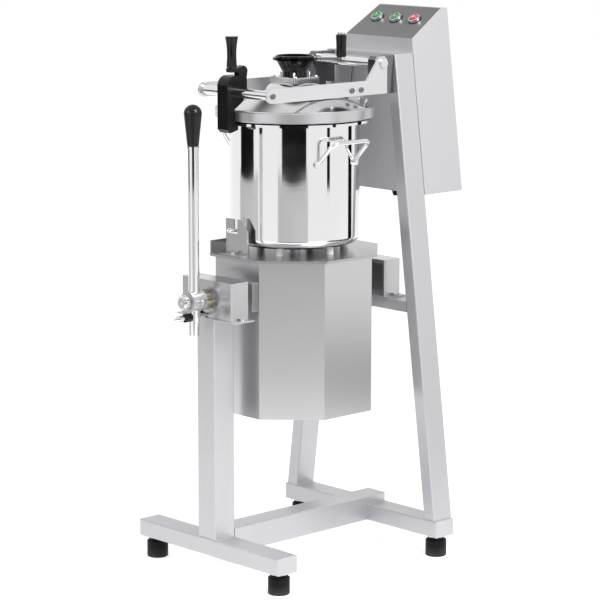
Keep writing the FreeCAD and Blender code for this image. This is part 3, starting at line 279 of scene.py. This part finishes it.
# How far the noise is stretched: small numbers lie along the lines.
UPRIGHT = (600.0, 600.0, 6.0)
LEVEL = (6.0, 6.0, 700.0)
ALONG_ARM = (8.0, 8.0, 500.0)
ALONG_DECK = (500.0, 8.0, 500.0)
EVEN = (400.0, 400.0, 400.0)
FINISHES = {
    "frame_satin": finish("frame_satin", (0.60, 0.60, 0.62), 0.70, 0.38, UPRIGHT, lines=0.06),
    "brushed_sheet": finish("brushed_sheet", (0.62, 0.62, 0.63), 0.95, 0.24, UPRIGHT, lines=0.10,
                            marks=0.008),
    "box_sheet": finish("box_sheet", (0.62, 0.62, 0.64), 0.60, 0.36, UPRIGHT, lines=0.05),
    "deck_sheet": finish("deck_sheet", (0.50, 0.50, 0.51), 0.95, 0.26, ALONG_DECK, lines=0.10, marks=0.01),
    "mirror_steel": finish("mirror_steel", (0.78, 0.78, 0.79), 1.0, 0.045, LEVEL, lines=0.03, marks=0.04),
    "lid_steel": finish("lid_steel", (0.70, 0.70, 0.71), 1.0, 0.12, EVEN, lines=0.05),
    "satin_cast": finish("satin_cast", (0.58, 0.58, 0.59), 0.85, 0.30, EVEN, lines=0.08),
    "arm_satin": finish("arm_satin", (0.66, 0.66, 0.67), 0.60, 0.30, ALONG_ARM, lines=0.05),
    "bright_metal": finish("bright_metal", (0.74, 0.74, 0.75), 1.0, 0.10, EVEN, lines=0.06),
    "crank_metal": finish("crank_metal", (0.72, 0.72, 0.73), 1.0, 0.14, EVEN, lines=0.06),
    "dark_steel": finish("dark_steel", (0.20, 0.20, 0.21), 0.90, 0.18, LEVEL, lines=0.2),
    "black_gloss": finish("black_gloss", (0.004, 0.004, 0.0045), 0.0, 0.16, EVEN, lines=0.3, coat=0.15,
                          shine=0.28),
    "black_cast": finish("black_cast", (0.006, 0.006, 0.007), 0.0, 0.26, EVEN, lines=0.4, depth=0.00006,
                         shine=0.25),
    "black_rubber": finish("black_rubber", (0.006, 0.006, 0.006), 0.0, 0.5, EVEN, lines=0.4, depth=0.0001,
                           shine=0.15, dusty=True),
    "white_plastic": finish("white_plastic", (0.85, 0.85, 0.83), 0.0, 0.4, EVEN, lines=0.03),
    "bronze": finish("bronze", (0.42, 0.37, 0.30), 1.0, 0.3, EVEN, lines=0.15),
    "green_lens": finish("green_lens", (0.008, 0.30, 0.07), 0.0, 0.15, EVEN, lines=0.15, coat=0.5),
    "red_lens": finish("red_lens", (0.70, 0.02, 0.035), 0.0, 0.15, EVEN, lines=0.15, coat=0.5),
}
print("finishes:", len(FINISHES))

# %% [markdown]
# Two finishes change over one piece. The box's sloped panel is a darker grey than its sides, and the
# crank's ring is black where it wraps the funnel. A mask picks the place, and the colour from before goes
# in underneath. The panel climbs 66 mm over a depth of 104.5 mm, which gives the way that it faces.

# %% Panel face and crank ring
PANEL_RISE = 66.0
PANEL_DEPTH = 104.5
PANEL_SLOPE = math.atan2(PANEL_RISE, PANEL_DEPTH)
PANEL_OUT = Vector((0.0, -math.sin(PANEL_SLOPE), math.cos(PANEL_SLOPE)))
PANEL_UP = Vector((0.0, math.cos(PANEL_SLOPE), math.sin(PANEL_SLOPE)))
PANEL_GREY = (0.22, 0.22, 0.225)
RING_BLACK = (0.006, 0.006, 0.007)
RING_RADIUS = 0.0525


def corners(box):
    """A box's lowest and highest corners as vectors."""
    return tuple(Vector(corner) for corner in box)


def recolour(finish_name, mask, colour):
    """Lay a colour over a finish where a mask is 1."""
    tree = FINISHES[finish_name].node_tree
    shader = tree.nodes["Principled BSDF"]
    before = shader.inputs["Base Color"].links[0].from_socket
    mix = tree.nodes.new("ShaderNodeMix")
    mix.data_type = "RGBA"
    mix.inputs["B"].default_value = (*colour, 1.0)
    tree.links.new(before, mix.inputs["A"])
    tree.links.new(mask, mix.inputs["Factor"])
    tree.links.new(mix.outputs["Result"], shader.inputs["Base Color"])


block_low, block_high = corners(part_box("funnel_block"))
axis_y = (block_low.y + block_high.y) / 2
panel_mask = use(FINISHES["box_sheet"].node_tree, FACING, Way=PANEL_OUT)
recolour("box_sheet", panel_mask.outputs["Mask"], PANEL_GREY)
ring_mask = use(FINISHES["crank_metal"].node_tree, NEAR, Centre=(0.0, axis_y, 0.0), Radius=RING_RADIUS)
recolour("crank_metal", ring_mask.outputs["Mask"], RING_BLACK)
print("recoloured:", 2)

# %% [markdown]
# Each piece of the machine gets its finish by name. A piece keeps its mesh; only its material slots change.

# %% Give every piece its finish
WEARS = {
    "frame_satin": ["front_foot_tube", "front_post", "spine_beam", "rear_foot_tubes", "rear_leg_left",
                    "rear_leg_right", "rear_crossbar", "top_rail", "bearing_bases"],
    "brushed_sheet": ["motor_housing", "front_bearing_box", "rear_bearing_box", "bowl_catch", "flange_plates",
                      "housing_floor"],
    "box_sheet": ["control_box", "control_box_cover"],
    "deck_sheet": ["deck_plate", "lid_brackets"],
    "mirror_steel": ["bowl", "bowl_handles", "cross_tube", "pivot_tube", "lever_rod", "knife_hub", "knives"],
    "lid_steel": ["lid_dome", "funnel_block"],
    "satin_cast": ["lid_rim", "lever_hub"],
    "arm_satin": ["lid_arm_left", "lid_arm_right"],
    "bright_metal": ["base_bolts", "pivot_bolts", "hub_fasteners", "plunger_pin", "button_bezels",
                     "trunnion_shafts", "drive_shaft", "lid_stud"],
    "crank_metal": ["crank_arm_bar"],
    "dark_steel": ["hinge_blocks", "motor", "arm_bolts"],
    "black_gloss": ["lever_grip", "latch_grip", "crank_grip", "funnel", "plunger_sleeve"],
    "black_cast": ["latch", "cable_gland"],
    "black_rubber": ["rubber_feet", "lid_gasket"],
    "white_plastic": ["bowl_pads", "wiper", "contactor"],
    "bronze": ["trunnion_bushes"],
    "green_lens": ["green_button_left", "green_button_middle"],
    "red_lens": ["red_button"],
}
for finish_name, node_names in WEARS.items():
    for node_name in node_names:
        piece = NODES[node_name]
        piece.data.materials.clear()
        piece.data.materials.append(FINISHES[finish_name])
print("pieces with a finish:", sum(len(names) for names in WEARS.values()))

# %% [markdown]
# Small parts are made here in mesh code. A turned part, such as a screw head or a ring, is an outline of
# radius and height that is spun round an axis; its corners are rounded by the outline itself.
# Every part is then given its finish and told which body it rides on.

# %% Helpers for small parts


def add_piece(name, mesh, finish_name, body):
    """Put a mesh in the scene with a finish and a body to ride on."""
    piece = bpy.data.objects.new(name, mesh)
    bpy.context.scene.collection.objects.link(piece)
    mesh.materials.append(FINISHES[finish_name])
    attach(piece, body)
    return piece


SHARP = math.radians(40)
POINTED = 1e-6


def spun(name, outline, centre, axis, finish_name, body, steps=48):
    """A turned part from an outline of (radius, height), standing at a point along an axis."""
    mesh = bpy.data.meshes.new(name)
    build = bmesh.new()
    turns = [step * 2 * math.pi / steps for step in range(steps)]
    rings = []
    for radius, height in outline:
        if radius < POINTED:
            rings.append([build.verts.new((0, 0, height))])
            continue
        rings.append([build.verts.new((radius * math.cos(turn), radius * math.sin(turn), height))
                      for turn in turns])
    for low, high in zip(rings, rings[1:]):
        for step in range(steps):
            after = (step + 1) % steps
            around = [low[step % len(low)], low[after % len(low)],
                      high[after % len(high)], high[step % len(high)]]
            distinct = list(dict.fromkeys(around))
            if len(distinct) > 2:
                build.faces.new(distinct)
    bmesh.ops.recalc_face_normals(build, faces=build.faces)
    turn = Vector(axis).normalized().to_track_quat("Z", "Y").to_matrix().to_4x4()
    build.transform(Matrix.Translation(Vector(centre)) @ turn)
    build.to_mesh(mesh)
    build.free()
    mesh.shade_smooth()
    mesh.set_sharp_from_angle(angle=SHARP)
    return add_piece(name, mesh, finish_name, body)


def tube_mesh(name, points, radius, rounds, swell=(1.0, 1.0)):
    """A round tube along points. Its radius is scaled by the two swell values in turn."""
    curve = bpy.data.curves.new(name, "CURVE")
    curve.dimensions = "3D"
    curve.bevel_depth = radius
    curve.bevel_resolution = rounds
    curve.use_fill_caps = True
    line = curve.splines.new("POLY")
    line.points.add(len(points) - 1)
    for number, (spot, point) in enumerate(zip(line.points, points)):
        spot.co = (*point, 1.0)
        spot.radius = swell[number % 2]
    holder = bpy.data.objects.new(name + "_path", curve)
    mesh = bpy.data.meshes.new_from_object(holder)
    bpy.data.objects.remove(holder)
    mesh.shade_smooth()
    return mesh


def round_rod(name, points, radius, finish_name, body):
    """A rod with a round section that runs straight from point to point."""
    return add_piece(name, tube_mesh(name, points, radius, 6), finish_name, body)


def screw_head(name, centre, axis, radius, body, tall=0.003):
    """A button-head screw with a socket sunk in its crown."""
    outline = [(0.0, 0.0), (radius, 0.0), (radius, tall * 0.35), (radius * 0.8, tall * 0.85),
               (radius * 0.5, tall), (radius * 0.42, tall), (radius * 0.38, tall * 0.4), (0.0, tall * 0.4)]
    return spun(name, outline, centre, axis, "bright_metal", body, steps=28)


# %% [markdown]
# The frame is welded together. A bead runs along each seam: a thin ridge with the even ripples that the
# welder's hand leaves. Overlapping scales could be modelled one by one, but a thin tube whose radius swells
# and shrinks along its line gives the same ripple in a few lines. The seams' places come from the tubes.

# %% Weld beads
BEAD_RADIUS = 0.0022
BEAD_SWELL = (0.72, 1.0)
RIPPLE_STEP = 0.0032
SEAM_INSET = 0.003
LEG_WIDE = 0.034


def weld_bead(name, start, end):
    """A rippled bead from start to end."""
    start, end = Vector(start), Vector(end)
    count = 2 * max(4, int((end - start).length / RIPPLE_STEP))
    points = [start.lerp(end, number / count) for number in range(count + 1)]
    mesh = tube_mesh(name, points, BEAD_RADIUS, 2, BEAD_SWELL)
    return add_piece(name, mesh, "frame_satin", "frame")


def across(low, high, y, z):
    """The ends of a seam along X, kept in from a tube's corners."""
    return (low.x + SEAM_INSET, y, z), (high.x - SEAM_INSET, y, z)


def lengthways(low, high, x, z):
    """The ends of a seam along Y, kept in from a tube's corners."""
    return (x, low.y + SEAM_INSET, z), (x, high.y - SEAM_INSET, z)


post_low, post_high = corners(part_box("front_post"))
beam_low, beam_high = corners(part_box("spine_beam"))
rear_low, rear_high = corners(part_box("rear_foot_tubes"))
foot_top = corners(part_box("front_foot_tube"))[1].z
beads = {
    "bead_post_front": across(post_low, post_high, post_low.y, post_low.z),
    "bead_post_left": lengthways(post_low, post_high, post_low.x, post_low.z),
    "bead_post_right": lengthways(post_low, post_high, post_high.x, post_low.z),
}
for side, x in (("left", beam_low.x), ("right", beam_high.x)):
    beads[f"bead_beam_front_{side}"] = ((x, beam_low.y, beam_low.z + SEAM_INSET), (x, beam_low.y, foot_top))
for side, x in (("left", beam_low.x), ("right", beam_high.x)):
    beads[f"bead_rear_{side}"] = lengthways(rear_low, rear_high, x, rear_high.z)
for side in ("left", "right"):
    leg_low, leg_high = corners(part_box(f"rear_leg_{side}"))
    left = leg_low.x if side == "left" else leg_high.x - LEG_WIDE
    right = left + LEG_WIDE
    inner = right if side == "left" else left
    beads[f"bead_leg_{side}_front"] = ((left + SEAM_INSET, leg_low.y, rear_high.z),
                                       (right - SEAM_INSET, leg_low.y, rear_high.z))
    beads[f"bead_leg_{side}_inner"] = lengthways(leg_low, leg_high, inner, rear_high.z)
for name, (start, end) in beads.items():
    weld_bead(name, start, end)
print("weld beads:", len(beads))

# %% [markdown]
# The sloped panel carries three push buttons. Each has a black seal under its bright bezel, and its lens is a
# low dome with a raised mark: a bar on the green ones and a ring on the red one, as on any such button.
# A button's middle and the panel's direction give the top of its cap, and the rest is stacked from there.

# %% Button seals and marks
CAP_LONG = 0.020
BEZEL_TALL = 0.008
CAP_PROUD = 0.002
DOME = [(0.0102, 0.0), (0.0098, 0.0007), (0.0080, 0.0012), (0.0050, 0.0015), (0.0, 0.0016)]
SEAL = [(0.0150, 0.0), (0.0166, 0.0), (0.0166, 0.0010), (0.0150, 0.0016)]
LIP = [(0.0150, BEZEL_TALL - 0.0012), (0.0146, BEZEL_TALL + 0.0004),
       (0.0130, BEZEL_TALL + 0.0009), (0.0110, BEZEL_TALL + 0.0002)]
RING_MARK = [(0.0030, 0.0014), (0.0030, 0.0021), (0.0042, 0.0021), (0.0042, 0.0012)]
BAR_HALF = 0.0035
BAR_LIFT = 0.0015
BAR_RADIUS = 0.0007
for name in ("green_button_left", "green_button_middle", "red_button"):
    low, high = corners(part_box(name))
    middle = (low + high) / 2
    cap_top = middle + PANEL_OUT * CAP_LONG / 2
    lens = "red_lens" if name.startswith("red") else "green_lens"
    spun(name + "_dome", DOME, cap_top, PANEL_OUT, lens, name)
    on_panel = cap_top - PANEL_OUT * (BEZEL_TALL + CAP_PROUD)
    spun(name + "_seal", SEAL, on_panel, PANEL_OUT, "black_rubber", "frame")
    spun(name + "_lip", LIP, on_panel, PANEL_OUT, "bright_metal", "frame")
    if name.startswith("red"):
        spun(name + "_mark", RING_MARK, cap_top, PANEL_OUT, "white_plastic", name)
    else:
        bar_middle = cap_top + PANEL_OUT * BAR_LIFT
        round_rod(name + "_mark", [bar_middle - PANEL_UP * BAR_HALF, bar_middle + PANEL_UP * BAR_HALF],
                  BAR_RADIUS, "white_plastic", name)
print("buttons dressed:", 3)

# %% [markdown]
# Screws hold the rear cover, and two rods brace the lid under each arm: a slanted one, and a short bent one
# at the lid's edge. Chrome pins stand round the funnel's neck, with a screw near each corner of its block.

# %% Screws, rods and pins
SCREW_EDGE = 0.012
SCREW_ROWS = 4
COVER_SCREW = 0.005
COVER_LEAN = 0.1287
cover_low, cover_high = corners(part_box("control_box_cover"))
for row in range(SCREW_ROWS):
    share = row / (SCREW_ROWS - 1)
    height = cover_low.z + SCREW_EDGE + share * (cover_high.z - cover_low.z - 2 * SCREW_EDGE)
    half = cover_high.x - (height - cover_low.z) * COVER_LEAN - SCREW_EDGE
    for side, sign in (("left", -1), ("right", 1)):
        screw_head(f"cover_screw_{row}_{side}", (sign * half, cover_high.y, height), (0, 1, 0),
                   COVER_SCREW, "frame")

NECK_RING = 0.033
NECK_PIN = [(0.0, 0.0), (0.0030, 0.0), (0.0030, 0.0090), (0.0022, 0.0102), (0.0, 0.0105)]
BLOCK_SCREW = 0.0040
BLOCK_SCREW_X = 0.037
BLOCK_SCREW_Y = 0.032
UP = (0, 0, 1)
for number in range(4):
    turn = math.radians(45 + 90 * number)
    spot = (NECK_RING * math.cos(turn), axis_y + NECK_RING * math.sin(turn), block_high.z)
    spun(f"neck_pin_{number + 1}", NECK_PIN, spot, UP, "bright_metal", "lid", steps=20)
for number, (x, y) in enumerate(((-1, -1), (1, -1), (1, 1), (-1, 1))):
    spot = (x * BLOCK_SCREW_X, axis_y + y * BLOCK_SCREW_Y, block_high.z)
    screw_head(f"block_screw_{number + 1}", spot, UP, BLOCK_SCREW, "lid")

ROD_INSET = 0.010
BRACE_RADIUS = 0.0032
EDGE_RADIUS = 0.0028
# The rods' points: how far out, how far behind the brackets' front or rear edge, and how high.
BRACE_POINTS = [(0.0, -0.058, 1.0985), (0.0, -0.030, 1.0955), (0.004, 0.004, 1.0865)]
EDGE_POINTS = [(0.0, 0.002, 1.0885), (0.012, 0.012, 1.0890), (0.022, 0.010, 1.0840), (0.024, 0.002, 1.0800)]
bracket_low, bracket_high = corners(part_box("lid_brackets"))
for side, sign in (("left", -1), ("right", 1)):
    x = sign * (bracket_high.x - ROD_INSET)
    brace = [(x + sign * out, bracket_low.y + back, z) for out, back, z in BRACE_POINTS]
    round_rod(f"brace_rod_{side}", brace, BRACE_RADIUS, "mirror_steel", "lid")
    edge = [(x + sign * out, bracket_high.y + back, z) for out, back, z in EDGE_POINTS]
    round_rod(f"edge_rod_{side}", edge, EDGE_RADIUS, "mirror_steel", "lid")
print("screws and pins made")

# %% [markdown]
# The knob at the lever's hub is ribbed for grip, and a bright washer sits where each rubber foot meets its
# tube. Both repeat one small shape, so each is made by a loop. A collar closes the lower end of the
# lever's grip.

# %% Knob ribs, foot washers and the grip's collar
RIBS = 20
RIB_RING = 0.0162
RIB_RADIUS = 0.0011
RIB_HALF = Vector((0, 0.006, 0))
KNOB_MIDDLE = 0.009
knob_low, knob_high = corners(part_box("hub_fasteners"))
knob_centre = Vector((0.0, knob_low.y + KNOB_MIDDLE, (knob_low.z + knob_high.z) / 2))
for number in range(RIBS):
    turn = number * 2 * math.pi / RIBS
    out = Vector((math.cos(turn), 0.0, math.sin(turn))) * RIB_RING
    round_rod(f"knob_rib_{number + 1}", [knob_centre + out - RIB_HALF, knob_centre + out + RIB_HALF],
              RIB_RADIUS, "bright_metal", "tilting_unit")

FOOT_RADIUS = 0.025
FRONT_FOOT_X = 0.213
REAR_FOOT_X = 0.233
WASHER_DROP = 0.0030
WASHER = [(0.0195, 0.0), (0.0225, 0.0), (0.0225, 0.0025), (0.0195, 0.0025)]
feet_low, feet_high = corners(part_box("rubber_feet"))
front_y, rear_y = feet_low.y + FOOT_RADIUS, feet_high.y - FOOT_RADIUS
FOOT_SPOTS = {"front_right": (FRONT_FOOT_X, front_y), "front_left": (-FRONT_FOOT_X, front_y),
              "rear_right": (REAR_FOOT_X, rear_y), "rear_left": (-REAR_FOOT_X, rear_y)}
for label, (x, y) in FOOT_SPOTS.items():
    spun(f"foot_washer_{label}", WASHER, (x, y, feet_high.z - WASHER_DROP), UP, "bright_metal", "frame")

COLLAR = [(0.0126, 0.0), (0.0142, 0.0), (0.0142, 0.004), (0.0126, 0.005)]
COLLAR_TALL = 0.005
grip_low, grip_high = corners(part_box("lever_grip"))
grip_middle = (grip_low + grip_high) / 2
spun("grip_collar", COLLAR, (grip_middle.x, grip_middle.y, grip_low.z - COLLAR_TALL), UP, "bright_metal",
     "tilting_unit")
print("ribs:", RIBS, "washers:", len(FOOT_SPOTS))

# %% [markdown]
# The studio: a pale floor, an even white world, two large soft lamps, and cards that only polished metal
# sees. Without the cards a mirror-bright bowl in a white room would be plain white; with them it shows the
# upright dark bands of a catalogue picture. The world and the floor look white to the camera, to mirrors
# and through glass, while the light on the machine stays at a plain level.

# %% Floor and world
FLOOR_SIZE = 24.0
FLOOR_GREY = 0.80
FLOOR_GLOW = 0.62
WORLD_PLAIN = 0.55
WORLD_WHITE = 1.0


def seen_directly(tree):
    """A mask that is 1 for what the camera sees, also in a mirror or through glass."""
    path = tree.nodes.new("ShaderNodeLightPath")
    mirror = tree.nodes.new("ShaderNodeMath")
    mirror.operation = "MAXIMUM"
    glass = tree.nodes.new("ShaderNodeMath")
    glass.operation = "MAXIMUM"
    tree.links.new(path.outputs["Is Camera Ray"], mirror.inputs[0])
    tree.links.new(path.outputs["Is Glossy Ray"], mirror.inputs[1])
    tree.links.new(mirror.outputs[0], glass.inputs[0])
    tree.links.new(path.outputs["Is Transmission Ray"], glass.inputs[1])
    return glass.outputs[0]


def floor_finish(name, plain, glow_strength):
    """A floor finish: pale to light, near white to the camera, with the shadow kept."""
    material = bpy.data.materials.new(name)
    material.use_nodes = True
    tree = material.node_tree
    tree.nodes.clear()
    out = tree.nodes.new("ShaderNodeOutputMaterial")
    diffuse = tree.nodes.new("ShaderNodeBsdfDiffuse")
    diffuse.inputs["Color"].default_value = (plain, plain, plain, 1)
    glow = tree.nodes.new("ShaderNodeEmission")
    power = tree.nodes.new("ShaderNodeMath")
    power.operation = "MULTIPLY"
    power.inputs[1].default_value = glow_strength
    both = tree.nodes.new("ShaderNodeAddShader")
    tree.links.new(seen_directly(tree), power.inputs[0])
    tree.links.new(power.outputs[0], glow.inputs["Strength"])
    tree.links.new(diffuse.outputs[0], both.inputs[0])
    tree.links.new(glow.outputs[0], both.inputs[1])
    tree.links.new(both.outputs[0], out.inputs["Surface"])
    return material


def flat_card(name, centre, facing, wide, tall, material):
    """A flat rectangle that faces a point."""
    mesh = bpy.data.meshes.new(name)
    x, y = wide / 2, tall / 2
    mesh.from_pydata([(-x, -y, 0), (x, -y, 0), (x, y, 0), (-x, y, 0)], [], [(0, 1, 2, 3)])
    card = bpy.data.objects.new(name, mesh)
    bpy.context.scene.collection.objects.link(card)
    card.location = centre
    card.rotation_euler = (Vector(facing) - Vector(centre)).to_track_quat("Z", "Y").to_euler()
    mesh.materials.append(material)
    return card


flat_card("studio_floor", (0.0, 0.0, 0.0), UP, FLOOR_SIZE, FLOOR_SIZE,
          floor_finish("pale_floor", FLOOR_GREY, FLOOR_GLOW))
world = bpy.data.worlds.new("studio_world")
bpy.context.scene.world = world
world.use_nodes = True
background = world.node_tree.nodes["Background"]
background.inputs["Color"].default_value = (1, 1, 1, 1)
level = world.node_tree.nodes.new("ShaderNodeMapRange")
level.inputs["To Min"].default_value = WORLD_PLAIN
level.inputs["To Max"].default_value = WORLD_WHITE
world.node_tree.links.new(seen_directly(world.node_tree), level.inputs["Value"])
world.node_tree.links.new(level.outputs["Result"], background.inputs["Strength"])
print("floor and world ready")

# %% [markdown]
# A polished bowl shows its surroundings, squeezed into upright bands. So each band of the picture is a card
# that stands where the bowl's wall mirrors it: black ones give the sharp bands, grey ones below them the
# soft half tones, and high ones darken the lid and the rods. Three more lie on the floor, where the
# housing's flat faces mirror the ground, and shade those faces from bottom to top. The camera, shadows and
# soft light ignore them.

# %% Cards
BOWL_SPOT = Vector((0.0, axis_y, 0.9))
HIGH_CARD = 1.5
CARD_LIFT = 0.004


def card_paint(name, grey):
    """A dull card colour."""
    material = bpy.data.materials.new(name)
    material.use_nodes = True
    shader = material.node_tree.nodes["Principled BSDF"]
    shader.inputs["Base Color"].default_value = (grey, grey, grey, 1)
    shader.inputs["Roughness"].default_value = 1.0
    shader.inputs["Specular IOR Level"].default_value = 0.0
    return material


def mirrored_only(card):
    """Show a card to polished metal and to nothing else."""
    card.visible_camera = False
    card.visible_diffuse = False
    card.visible_shadow = False


BLACK = card_paint("black_card", 0.008)
GREY = card_paint("grey_card", 0.80)
DEEP = card_paint("deep_card", 0.16)
CARDS = {
    # name: turn from the view direction in degrees, distance, middle height, width, height, paint
    "card_front": (-1.0, 3.0, 0.80, 2.3, 0.56, BLACK),
    "card_front_low": (-3.0, 3.1, 0.26, 3.0, 0.52, GREY),
    "card_left": (-91.0, 2.6, 0.93, 1.5, 0.70, BLACK),
    "card_left_low": (-88.0, 2.7, 0.29, 2.2, 0.58, GREY),
    "card_right": (60.0, 2.6, 0.93, 0.26, 0.74, BLACK),
    "card_far_right": (112.0, 2.6, 0.80, 0.5, 1.6, BLACK),
    "card_high": (0.0, 2.4, 2.50, 2.6, 0.50, BLACK),
    "card_back_high": (176.0, 2.1, 2.85, 1.5, 0.70, BLACK),
    "card_side_high": (80.0, 2.4, 2.30, 1.0, 0.50, DEEP),
}
for name, (turn, distance, height, wide, tall, paint) in CARDS.items():
    centre = way(turn) * distance + Vector((0.0, axis_y, height))
    aim = BOWL_SPOT if height > HIGH_CARD else Vector((0.0, axis_y, height))
    mirrored_only(flat_card(name, centre, aim, wide, tall, paint))
FLOOR_CARDS = {
    # name: turn, distance from the machine, width, depth
    "floor_card_front": (-4.0, 2.3, 2.2, 0.6),
    "floor_card_right": (86.0, 2.3, 2.2, 1.2),
    "floor_card_left": (-94.0, 3.3, 2.2, 1.4),
}
for name, (turn, distance, wide, deep) in FLOOR_CARDS.items():
    centre = way(turn) * distance + Vector((0.0, axis_y, CARD_LIFT))
    card = flat_card(name, centre, centre + Vector(UP), wide, deep, DEEP)
    card.rotation_euler = (0.0, 0.0, VIEW_TURN + math.radians(turn))
    mirrored_only(card)
print("cards:", len(CARDS) + len(FLOOR_CARDS))

# %% [markdown]
# Two soft lamps model the tubes and the housing: a strong one to the right of the camera, and a weak one to
# its left.

# %% Lamps


def soft_lamp(name, turn, rise, distance, size, power):
    """A large square lamp aimed at the bowl."""
    data = bpy.data.lights.new(name, "AREA")
    data.shape = "SQUARE"
    data.size = size
    data.energy = power
    lamp = bpy.data.objects.new(name, data)
    bpy.context.scene.collection.objects.link(lamp)
    away = way(turn, rise)
    lamp.location = BOWL_SPOT + away * distance
    lamp.rotation_euler = (-away).to_track_quat("-Z", "Y").to_euler()


soft_lamp("key_lamp", 42.0, 38.0, 3.2, 1.8, 85.0)
soft_lamp("fill_lamp", -58.0, 22.0, 3.6, 2.0, 22.0)
print("studio ready")
